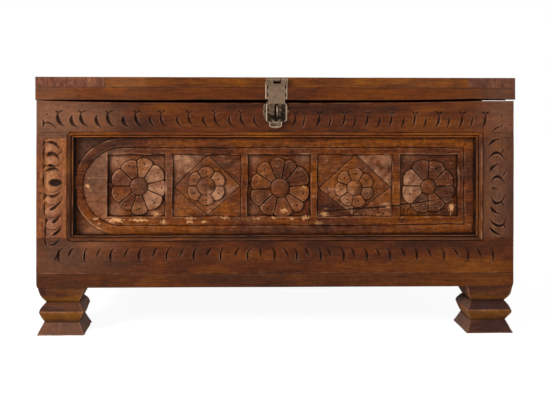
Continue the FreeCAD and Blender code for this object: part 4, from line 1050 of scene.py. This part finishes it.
strip_rub = np.array([0.0, 0.0, 0.0, 0.1, 0.16, 0.1, 0.03, 0.0, 0.0, 0.0, 0.0, 0.0, 0.0, 0.05, 0.2,
                      0.26, 0.22, 0.12, 0.0, 0.0, 0.0, 0.0, 0.0, 0.0])
opening_left = -438.0
opening_right = 438.0
opening_low = 217.5
opening_high = 429.0
moulding_shades = ("#3c2216", "#693717", "#8a5217")
amber_shades = ("#4a2716", "#874416", "#ad6214")
upright_grain = (12.0, 12.0, 1.0)
mitre_angle = 143.0


def moulding_strip(side, outer, inner, seed, shades, lightness, filled, ridge=0.0):
    """One strip, given as matching rows of points (x, z) along its outer and its inner edge. It fills that share
    of the room between them, and the rest, the open joint at the panel, is covered by the strip's deepest edge,
    painted near black as shade. ridge is how pale its top is."""
    outer, inner = np.array(outer, float), np.array(inner, float)
    share = np.append(strip_shares[:-1] * filled, 1.0)[:, None]
    x = outer[:, 0] * (1 - share) + inner[:, 0] * share
    z = outer[:, 1] * (1 - share) + inner[:, 1] * share
    line = on_front(x, z)
    sink = strip_sinks[:, None] + 0.35 * ripple(line, 45.0, seed) + 0.25 * ripple(line, 14.0, seed + 1)
    x, z = x + 0.35 * ripple(line, 70.0, seed + 2), z + 0.35 * ripple(line, 80.0, seed + 3)
    spots = 0.6 + 0.5 * ripple(line, 30.0, seed + 4)
    rub = (strip_rub + ridge * bell(strip_shares, 0.2, 0.07))[:, None] * spots
    strip = net_piece("panel_moulding_" + side + "_strip", x, rail_front + np.maximum(sink, 0.5), z,
                      panel_face_y + 0.1, dirt=clamped(strip_dirt[:, None] * (0.8 + 0.3 * spots)), rub=clamped(rub))
    grain = along_x if side in ("top", "bottom") else upright_grain
    wood = oiled_hardwood("planed_sheesham_moulding_" + side, grain, seed, shades, lightness)
    fit(strip, "chest", "moulding_wood", wood, "panel_moulding_" + side)


def seat_bend(level, above, start, stop, count):
    """Points round the seat's upper or lower left corner, between two angles from its level run."""
    middle = (seat_left + seat_corner, level - above * seat_corner)
    turns = np.radians(np.linspace(start, stop, count))
    return [(middle[0] + seat_corner * math.cos(t), middle[1] + above * seat_corner * math.sin(t)) for t in turns]


def even_points(start, end, count):
    """Points at even steps from a start to an end."""
    return list(zip(np.linspace(start[0], end[0], count), np.linspace(start[1], end[1], count)))


for side, level, inner_level, above, shades in (("top", seat_high, opening_high, 1, amber_shades),
                                                ("bottom", seat_low, opening_low, -1, moulding_shades)):
    bend = seat_bend(level, above, mitre_angle, 90.0, 7)
    run = even_points((bend[-1][0] + 6.0, level), (seat_right, level), 150)
    inside = even_points((opening_left, inner_level), (opening_left + 4.0, inner_level), len(bend))
    inside += even_points((opening_left + 10.0, inner_level), (opening_right, inner_level), len(run))
    moulding_strip(side, bend + run, inside, 181 + above, shades, 0.1 * above, 1.0)
low_bend = seat_bend(seat_low, -1, 180.0, mitre_angle, 6)
high_bend = seat_bend(seat_high, 1, 180.0, mitre_angle, 6)
run = even_points((seat_left, seat_low + 18.0), (seat_left, seat_high - 18.0), 36)
inside = even_points((opening_left, opening_low), (opening_left, opening_low + 2.0), len(low_bend))
inside += even_points((opening_left, opening_low + 6.0), (opening_left, opening_high - 6.0), len(run))
inside += even_points((opening_left, opening_high - 2.0), (opening_left, opening_high), len(high_bend))
moulding_strip("left", low_bend[::-1] + run + high_bend, inside, 187, moulding_shades, 0.0, 0.80)
moulding_strip("right", even_points((seat_right, seat_low), (seat_right, seat_high), 44),
               even_points((opening_right, opening_low), (opening_right, opening_high), 44), 191, moulding_shades,
               0.1, 0.93, 0.42)


# Top rails. The front one is carved with a row of Y-shaped cuts with a crescent between each two, bent like the
# left and the right half of a bow. A line is scribed along its foot. The side and back rails are plain.
high_y_left = (-475.0, -425.1, -366.6, -305.7, -251.3, -190.2, -133.4, -76.4)
high_crescents_left = (-449.0, -394.8, -336.1, -277.4, -218.6, -161.8, -104.9, -50.1)
high_y_right = (42.1, 94.9, 150.0, 200.8, 253.8, 304.8, 358.0, 409.1, 460.3)
high_crescents_right = (61.9, 119.1, 174.3, 227.3, 280.4, 329.2, 380.2, 431.3)
worn_top_places = (-523.0, -472.0, -428.0, -342.0, -255.0, -168.0, 94.0, 182.0, 271.0, 360.0, 427.0, 523.0)
worn_top_levels = (510.3, 509.3, 507.8, 506.6, 506.5, 505.9, 506.4, 507.2, 507.9, 509.2, 510.9, 511.4)
top_true_level = 509.5
wear_foot = 490.0

top_face = CarvedFace((-rail_end, post_high), (rail_end, top_true_level), rail_net, 1.7)
for number, x in enumerate(high_y_left):
    bold = 1.0 if number < 4 else 0.68
    bend = rail_draw.uniform(0.85, 1.1)
    top_face.gouge([(x - 0.5, 484.5), (x - 1.2, 472.0), (x + 3.5 * bend, 461.5), (x + 13.5 * bend, 453.8)],
                   9.6 * bold, 4.2 * bold, 0.42)
    top_face.gouge([(x - 8.0, 488.8), (x - 3.0, 486.5), (x, 482.5)], 4.4, 2.0, 0.6)
    top_face.gouge([(x + 13.0, 488.0), (x + 5.0, 486.5), (x + 1.0, 482.5)], 4.0 * bold, 1.8, 0.6)
for number, x in enumerate(high_crescents_left):
    bold = 1.0 if number < 3 else 0.62
    bend = rail_draw.uniform(0.85, 1.15)
    top_face.gouge([(x + 4.6, 478.5), (x + 1.8, 469.0), (x + 5.5, 459.5), (x + 16.0 * bend, 451.8)], 9.6 * bold,
                   4.0 * bold, 0.4)
for x in high_y_right:
    bend = rail_draw.uniform(0.8, 1.2)
    top_face.gouge([(x + 0.5, 483.0), (x - 0.3, 471.0), (x - 3.0 * bend, 460.5), (x - 8.5 * bend, 453.0)],
                   rail_draw.uniform(4.8, 6.6), rail_draw.uniform(2.8, 3.6), 0.45)
    top_face.gouge([(x - 9.0, 487.8), (x - 4.0, 485.5), (x, 481.5)], 4.2, 2.0, 0.6)
    top_face.gouge([(x + 11.0, 487.0), (x + 5.0, 485.5), (x + 0.5, 481.5)], 4.2, 2.0, 0.6)
for x in high_crescents_right:
    bend = rail_draw.uniform(0.85, 1.15)
    top_face.gouge([(x + 0.5, 477.5), (x - 0.5, 467.0), (x - 2.5 * bend, 458.5), (x - 7.5 * bend, 451.5)],
                   rail_draw.uniform(4.4, 6.0), rail_draw.uniform(2.4, 3.2), 0.45)
top_face.notch([(-509.5, 473.5), (-502.0, 460.0), (-510.3, 447.9)], 2.8)
top_face.gouge([(-506.6, 460.5), (-497.7, 462.1), (-487.8, 457.7), (-478.1, 446.7)], 4.0, 2.0, 0.4)
top_face.notch([(495.0, 457.0), (501.0, 464.5), (498.5, 447.0)], 2.4)
top_face.gouge([(474.9, 443.2), (483.8, 450.7), (497.7, 456.2)], 4.2, 2.0, 0.5)
for spot in ((-498.2, 481.0), (495.7, 480.5), (516.6, 458.0)):
    top_face.hole(spot, 1.6, 2.0)
for end in (-1, 1):
    top_face.gouge([(end * 522.0, 440.3), (end * 490.0, 440.6), (end * 458.0, 440.3)], 2.0, 0.8, 0.5, 0.55)
top_face.stain(
    (-505.0, 434.0, 60.0, 6.0, -1.5), (-500.0, 475.0, 70.0, 24.0, -0.3), (-330.0, 498.0, 120.0, 12.0, -0.7),
    (-235.0, 497.0, 60.0, 9.0, 0.8), (-300.0, 462.0, 60.0, 24.0, -0.4), (-140.0, 470.0, 70.0, 30.0, 0.25),
    (-20.0, 500.0, 150.0, 10.0, -0.7), (150.0, 485.0, 90.0, 22.0, -0.7), (250.0, 495.0, 70.0, 14.0, -0.8),
    (345.0, 494.0, 50.0, 9.0, 0.9), (330.0, 462.0, 60.0, 10.0, 0.3), (470.0, 480.0, 50.0, 30.0, -0.2),
)
top_face.bleach((-490.0, 475.0, 100.0, 60.0, 0.30), (500.0, 478.0, 50.0, 60.0, 0.22),
                (-380.0, 470.0, 60.0, 30.0, 0.10))
top_face.weather(201)
seat_for_moulding(top_face)
worn_top = np.interp(top_face.net_x, worn_top_places, worn_top_levels)
wear_share = clamped((top_face.net_z - wear_foot) / (top_true_level - wear_foot))
top_face.net_z = top_face.net_z + (worn_top - top_true_level) * wear_share
top_rail = carved_piece("front_top_rail_carved", top_face, rail_back)
top_rail_wood = oiled_hardwood("carved_sheesham_top_rail", along_x, 202, rail_shades, -0.05)
fit(top_rail, "chest", "rail_wood", top_rail_wood, "front_top_rail")

for seed, node, grain in ((205, "back_top_rail", along_x), (206, "left_top_rail", along_y),
                          (207, "right_top_rail", along_y)):
    plain_member(node, "chest", "rail_wood", seed, grain, rail_shades)


# Nails, screws, dowels and the two butt hinges on the back. Plain dark iron and pale turned pegs, all mostly
# hidden, so they keep their CAD shapes.
def old_iron(name, colour, rust, wear, size, roughness):
    """Sheet or drawn iron gone dull with handling. It gives the eye a grey metal with a brown bloom in blots of
    that size, near black with dirt and painted shade, brighter where it is rubbed, and a broken, half dull shine."""
    material = bpy.data.materials.new(name)
    tree = empty_tree(material)
    place = add(tree, "TexCoord", {}).outputs["Object"]
    blot = add(tree, "TexNoise", {"Vector": place, "Scale": 1.0 / (size * MM), "Detail": 5.0, "Roughness": 0.62,
                                  "Distortion": 0.15})
    bloom = add(tree, "MapRange", {"Value": blot, "From Min": 0.42, "From Max": 0.66, "To Min": 0.0,
                                   "To Max": 0.45})
    dirt = add(tree, "Attribute", {}, attribute_name="dirt").outputs["Fac"]
    dark_share = add(tree, "Math", {0: bloom, 1: dirt}, operation="ADD", use_clamp=True)
    rusty = add(tree, "Mix", {0: dark_share, 6: linear(colour), 7: linear(rust)}, data_type="RGBA")
    packed_dirt = add(tree, "Math", {0: dirt, 1: 2.0}, operation="POWER")
    greasy_and_shaded = add(tree, "Mix", {0: packed_dirt, 6: rusty, 7: linear("#15100c")}, data_type="RGBA")
    rub = add(tree, "Attribute", {}, attribute_name="rub").outputs["Fac"]
    worn = add(tree, "Mix", {0: rub, 6: greasy_and_shaded, 7: linear(wear)}, data_type="RGBA")
    dull = add(tree, "MapRange", {"Value": blot, "From Min": 0.35, "From Max": 0.7, "To Min": roughness,
                                  "To Max": roughness + 0.25})
    pits = add(tree, "TexNoise", {"Vector": place, "Scale": 4.0 / (size * MM), "Detail": 3.0})
    bump = add(tree, "Bump", {"Height": pits, "Strength": 0.35, "Distance": 0.4 * MM})
    metal = add(tree, "BsdfPrincipled", {"Base Color": worn, "Roughness": dull, "Normal": bump, "Metallic": 1.0})
    add(tree, "OutputMaterial", {"Surface": metal})
    return material


def refinish(node, material):
    """Gives a CAD node that keeps its shape its real material."""
    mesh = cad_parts[node].data
    if not mesh.materials:
        mesh.materials.append(material)
    for index in range(len(mesh.materials)):
        mesh.materials[index] = material


dark_iron = old_iron("blackened_iron_hinges_and_nails", "#5d554d", "#33271f", "#8d857b", 9.0, 0.45)
for node in ("left_hinge_chest_leaf", "right_hinge_chest_leaf", "left_hinge_lid_leaf", "right_hinge_lid_leaf",
             "hinge_pins", "chest_leaf_screws", "lid_leaf_screws", "plank_nails", "lid_nails"):
    refinish(node, dark_iron)
beech_shades = ("#8a6844", "#a5825a", "#b8966c")
refinish("foot_dowels", oiled_hardwood("turned_beech_dowels", upright_grain, 211, beech_shades))


# Lid frame. Two long rails with a side rail and a batten tenoned between them at each end. The front rail shows as
# the lower band of the lid. The lid has warped: it lifts at the right end, and its back has settled on the chest.
lid_shades = ("#4b2513", "#67320f", "#7c3f0d")
lid_underside = 513.5
frame_height = 26.0
resting_level = 509.56
corner_level = 510.44
lifted_level = 512.3
lip_level = 507.0
side_lip_x = 486.0
back_lip_y = 192.0
touching_x = -494.0
touching_y = -229.0
lifted_until_y = -40.0
sagging_places = (-525.0, -500.0, -472.0, -428.0, -342.0, -255.0, -168.0, -81.0, 94.0, 182.0, 271.0, 360.0, 427.0,
                  500.0, 525.0)
sagging_levels = (511.5, 511.9, 512.2, 511.8, 511.7, 511.3, 512.6, 512.8, 511.9, 512.1, 512.6, 513.8, 515.7, 515.1,
                  513.9)
front_rail_marks = ((-500.0, 60.0, 0.0, 0.14), (-330.0, 60.0, 0.5, 0.04), (-60.0, 260.0, -0.35, 0.0),
                    (500.0, 60.0, -1.1, 0.14))


def underneath(points):
    """Which points are on the underside of a member of the lid's frame."""
    return points[:, 2] < lid_underside + 0.6


def warped_front(points):
    """Bends the lid's front as the old lid has warped: it touches the chest at its left corner, stands off it along
    the front and lifts at the right end."""
    under = underneath(points)
    level = np.interp(points[:, 0], sagging_places, sagging_levels)
    points[:, 2] += (level - lid_underside) * clamped((lid_underside + frame_height - points[:, 2]) / frame_height)
    points[under & (points[:, 1] > touching_y) & (points[:, 0] < touching_x), 2] = corner_level
    return points


def settled_left(points):
    """Lets the left rail's underside rest on the chest, with a lip that hangs inside it."""
    under = underneath(points)
    points[under, 2] = resting_level
    points[under & (points[:, 0] > -side_lip_x), 2] = lip_level
    return points


def settled_right(points):
    """Lets the back half of the right rail rest on the chest, while its front half is lifted a little."""
    under = underneath(points)
    points[under, 2] = np.where(points[under, 1] > lifted_until_y, resting_level, lifted_level)
    points[under & (points[:, 0] < side_lip_x) & (points[:, 1] > lifted_until_y), 2] = lip_level
    return points


def settled_back(points):
    """Hangs the front edge of the back rail as a lip inside the chest."""
    points[underneath(points) & (points[:, 1] < back_lip_y), 2] = lip_level
    return points


for seed, node, grain, shape, cuts, marks in (
    (221, "lid_front_rail", along_x, warped_front, 61, front_rail_marks),
    (222, "lid_back_rail", along_x, settled_back, 25, ()),
    (223, "lid_left_rail", along_y, settled_left, 25, ()),
    (224, "lid_right_rail", along_y, settled_right, 25, ()),
    (225, "lid_left_batten", along_y, None, 25, ()),
    (226, "lid_right_batten", along_y, None, 25, ()),
):
    plain_member(node, "lid", "lid_frame_wood", seed, grain, lid_shades, 0.05, cuts=cuts, shape=shape, marks=marks)


# Lid boards. A board across each end, whose end grain shows in front, and three long boards between them, all
# nailed down into the frame. The nail heads lie flush in the top.
end_grain = (12.0, 1.0, 4.0)
lid_board_shades = ("#532b18", "#6e3914", "#884c10")
end_board_shades = ("#603a2e", "#824f38", "#9a6244")
lid_board_marks = ((-352.0, 30.0, 0.5, 0.1), (-310.0, 30.0, 0.3, 0.1), (-200.0, 90.0, -0.3, 0.0),
                   (-409.0, 2.6, 1.4, 0.12), (300.0, 120.0, 0.1, 0.04), (404.0, 9.0, -1.5, 0.0))
for seed, node, grain, shades, lightness in (
    (231, "lid_left_end_board", end_grain, end_board_shades, -0.1),
    (232, "lid_right_end_board", end_grain, end_board_shades, -0.2),
    (233, "lid_front_board", along_x, lid_board_shades, 0.14),
    (234, "lid_middle_board", along_x, lid_board_shades, 0.0),
    (235, "lid_back_board", along_x, lid_board_shades, 0.05),
):
    plain_member(node, "lid", "lid_board_wood", seed, grain, shades, lightness, 0.6, "planed", edge=1.1, cuts=41,
                 joint_dirt=0.4, marks=lid_board_marks)


# Staple and its plate. A bent iron wire driven through a small scalloped plate into the top rail, held by two
# screws. It stands out through the slot of the strap and takes the padlock.
hasp_iron = old_iron("worn_plated_iron_hasp", "#89725c", "#4b3a2e", "#c6b097", 8.0, 0.42)
wire_iron = old_iron("rubbed_iron_wire", "#8f7c68", "#4c3d31", "#cdbba4", 5.0, 0.36)
plate_x = -4.0
plate_z = 487.5
plate_half_width = 27.0
plate_half_height = 21.0
plate_waist = 19.0
plate_front = -233.5
plate_slot_x = 2.3

plate_share, plate_row = np.meshgrid(np.linspace(-1.0, 1.0, 41), np.linspace(-1.0, 1.0, 31))
plate_half = plate_waist + (plate_half_width - plate_waist) * np.sqrt(clamped(1.0 - (plate_row / 0.86) ** 2))
plate_across = plate_share * plate_half
plate_gap = np.minimum(plate_half - np.abs(plate_across), plate_half_height * (1.0 - np.abs(plate_row)))
plate_y = plate_front + 0.8 * clamped(1.0 - plate_gap / 1.2) ** 2
# Painted shade on the plate behind the strap's slot, where it is seen through the slot.
slot_shade = clamped((7.5 - np.abs(plate_across - plate_slot_x)) / 1.5)
plate_grime = 0.35 + 0.3 * ripple(on_front(plate_across, plate_half_height * plate_row), 7.0, 245)
plate = net_piece("staple_plate_sheet", plate_x + plate_across, plate_y, plate_z - plate_row * plate_half_height,
                  rail_front, dirt=np.maximum(plate_grime, slot_shade))
fit(plate, "chest", "hasp_iron", hasp_iron, "staple_plate")
refinish("staple_plate_screws", hasp_iron)
refinish("staple", wire_iron)


# Hasp. A fixed leaf screwed to the lid's front, with the middle knuckle, a pin, and the swinging strap. The strap
# is pressed from one sheet: a broad head with two knuckles, a neck, and a wide end with a raised rim and a tongue.
hasp_x = -1.0
knuckle_radius = 3.9
pin_y = -237.8
pin_z = 556.0
notch_half = 8.3
notch_drop = 8.8
neck_half = 18.0
leaf_front = -235.5
leaf_back = -233.5
leaf_half = 24.0
leaf_shift = -0.8
leaf_head_drop = 4.6
leaf_foot_drop = 42.0
middle_knuckle_half = 7.1

leaf_across, leaf_drop = np.meshgrid(np.linspace(-leaf_half, leaf_half, 65),
                                     np.linspace(leaf_head_drop, leaf_foot_drop, 49))
leaf_edge = np.minimum(leaf_half - np.abs(leaf_across), leaf_foot_drop - leaf_drop)
leaf_y = leaf_front + 0.7 * clamped(1.0 - leaf_edge / 1.1) ** 2
# Painted shadows on the leaf: under the middle knuckle in the strap's notch, and in a line along each side of the
# strap's neck, darker on the right.
notch_shadow = (np.abs(leaf_across) < notch_half + 1.0) & (leaf_drop < notch_drop + 1.0)
neck_shadow = np.exp(-((np.abs(leaf_across - leaf_shift + 0.4) - neck_half - 0.9) / 0.9) ** 2) * (leaf_drop > 11.0)
neck_shadow *= np.where(leaf_across > 0.0, 0.8, 0.45)
leaf = net_piece("hasp_fixed_leaf_plate", hasp_x + leaf_shift + leaf_across, leaf_y, pin_z - leaf_drop, leaf_back,
                 dirt=clamped(notch_shadow + neck_shadow), rub=0.75 * bell(leaf_edge, 1.2, 0.9) * (leaf_drop > 10.0))
fit(leaf, "lid", "hasp_iron", hasp_iron, "hasp_fixed_leaf")

knuckle_drops = (-3.85, -3.7, -3.4, -2.9, -2.2, -1.4, -0.5, 0.5, 1.4, 2.2, 2.9, 3.4, 3.7, 3.85, 4.3, 5.2)
knuckle_across, knuckle_drop = np.meshgrid(np.linspace(-middle_knuckle_half, middle_knuckle_half, 21), knuckle_drops)
knuckle_y = pin_y - np.sqrt(np.clip(knuckle_radius ** 2 - knuckle_drop ** 2, 0.0, None))
knuckle_y = np.where(knuckle_drop > 4.0, leaf_front - 0.3, knuckle_y)
# The lower side of the knuckle is painted with shade.
knuckle = net_piece("hasp_middle_knuckle", hasp_x + knuckle_across, knuckle_y, pin_z - knuckle_drop, leaf_back,
                    dirt=clamped((knuckle_drop - 2.6) / 1.6))
fit(knuckle, "lid", "hasp_iron", hasp_iron)

strap_front = -238.1
strap_metal = 2.0
strap_drops = (-3.8, 7.6, 7.8, 11.9, 12.1, 50.0, 52.0, 56.0, 87.9, 90.4, 90.6, 93.1, 100.0, 102.6, 105.4)
strap_halves = (23.4, 23.4, 23.4, 23.4, 18.0, 18.0, 20.9, 22.9, 22.9, 20.4, 16.4, 13.8, 13.8, 11.4, 2.0)
hang_drops = (0.0, 11.0, 13.0, 52.0, 88.0, 92.0, 106.0)
hang_shifts = (0.4, 0.3, -0.4, -0.4, -0.7, -2.6, -2.8)
slot_high_drop = 51.0
slot_low_drop = 86.0
slot_half = 4.4
end_drop = 52.0
tongue_drop = 93.0
edge_share = np.array([0.0, 0.045, 0.09, 0.14, 0.2, 0.28, 0.38, 0.48, 0.58, 0.68, 0.78, 0.86, 0.93, 1.0])


def strap_hole(drop):
    """Half the width of what is cut out of the strap's middle at each drop below the pin."""
    from_middle = np.abs(drop - (slot_high_drop + slot_low_drop) / 2)
    straight = (slot_low_drop - slot_high_drop) / 2 - slot_half
    beyond = np.clip(from_middle - straight, 0.0, slot_half)
    rounded = np.sqrt(np.clip(slot_half ** 2 - beyond ** 2, 0, None))
    return np.where(drop < notch_drop, notch_half, np.where(from_middle < straight + slot_half, rounded, 0))


slot_end_drops = [slot_high_drop, slot_low_drop, 51.3, 52.0, 53.0, 85.7, 85.0, 84.0]
drops = np.unique(np.round(np.concatenate([np.arange(-3.8, 105.4, 0.8), strap_drops, slot_end_drops]), 3))
half = np.interp(drops, strap_drops, strap_halves)[:, None]
hole_half = strap_hole(drops)[:, None]
over_metal = (half - hole_half) * edge_share
across = np.concatenate([-half + over_metal, hole_half + over_metal], axis=1)
drop_net = np.repeat(drops[:, None], across.shape[1], axis=1)
cut_through = np.zeros((across.shape[0] - 1, across.shape[1] - 1), bool)
cut_through[:, len(edge_share) - 1] = (hole_half[1:, 0] > 0.0) & (hole_half[:-1, 0] > 0.0)

# The raised rim of the wide end, the dished field inside it and the raised brow under the slot
from_edge = np.minimum(half - np.abs(across), np.where(drop_net > 98.0, 103.5 - drop_net, 99.0))
on_end = clamped((drop_net - end_drop) / 2.0)
rim = bell(from_edge, 1.0, 0.7) * on_end
dish = clamped((from_edge - 2.2) / 2.0) * on_end * clamped((tongue_drop - drop_net) / 3.0)
brow = bell(np.hypot(across, drop_net - 84.0), 8.5, 1.0) * (drop_net > 86.0)
barrel = pin_y - np.sqrt(np.clip(knuckle_radius ** 2 - np.minimum(drop_net, 0.0) ** 2, 0.0, None))
barrel = np.maximum(barrel, strap_front - 3.6 * np.clip(1.0 - (drop_net - 1.0) / 14.0, 0.0, 1.5))
strap_y = strap_front + 0.45 * dish - 0.5 * rim - 0.5 * brow
strap_y = np.where(drop_net < 15.0, np.minimum(strap_y, barrel), strap_y)

# Grime in the dish, darker towards its right side and its foot, with a painted shadow along its left rim, and some
# grime on the tongue
right_side = clamped((across - 8.0) / 4.0)
left_rim_shadow = clamped((-across - 16.0) / 2.5)
foot_of_dish = clamped((drop_net - 73.0) / 5.0)
in_dish = on_front(across, drop_net)
dish_grime_and_shade = dish * np.clip(0.36 + 0.42 * right_side + 0.4 * left_rim_shadow + 0.42 * foot_of_dish
                       + 0.2 * ripple(in_dish, 6.0, 243), 0.0, 0.84)
on_tongue = clamped((drop_net - 93.6) / 1.2) * clamped((from_edge - 2.0) / 1.2)
dish_grime_and_shade += on_tongue * (0.16 + 0.36 * clamped((3.0 - across) / 4.0))
strap_y += 0.15 * ripple(in_dish, 18.0, 241)
strap = net_piece("hasp_strap_plate", hasp_x + across + np.interp(drop_net, hang_drops, hang_shifts), strap_y,
                  pin_z - drop_net, strap_front + strap_metal, cut_through,
                  dirt=clamped(dish_grime_and_shade + 0.05 * on_end - 0.3 * rim),
                  rub=clamped(0.62 * rim + 0.45 * brow + 0.4 * bell(from_edge, 0.0, 0.7)))
fit(strap, "hasp_strap", "hasp_iron", hasp_iron, "hasp_strap")
for node in ("hasp_pin", "hasp_leaf_screws"):
    refinish(node, hasp_iron)


bpy.context.scene.view_settings.view_transform = "Standard"
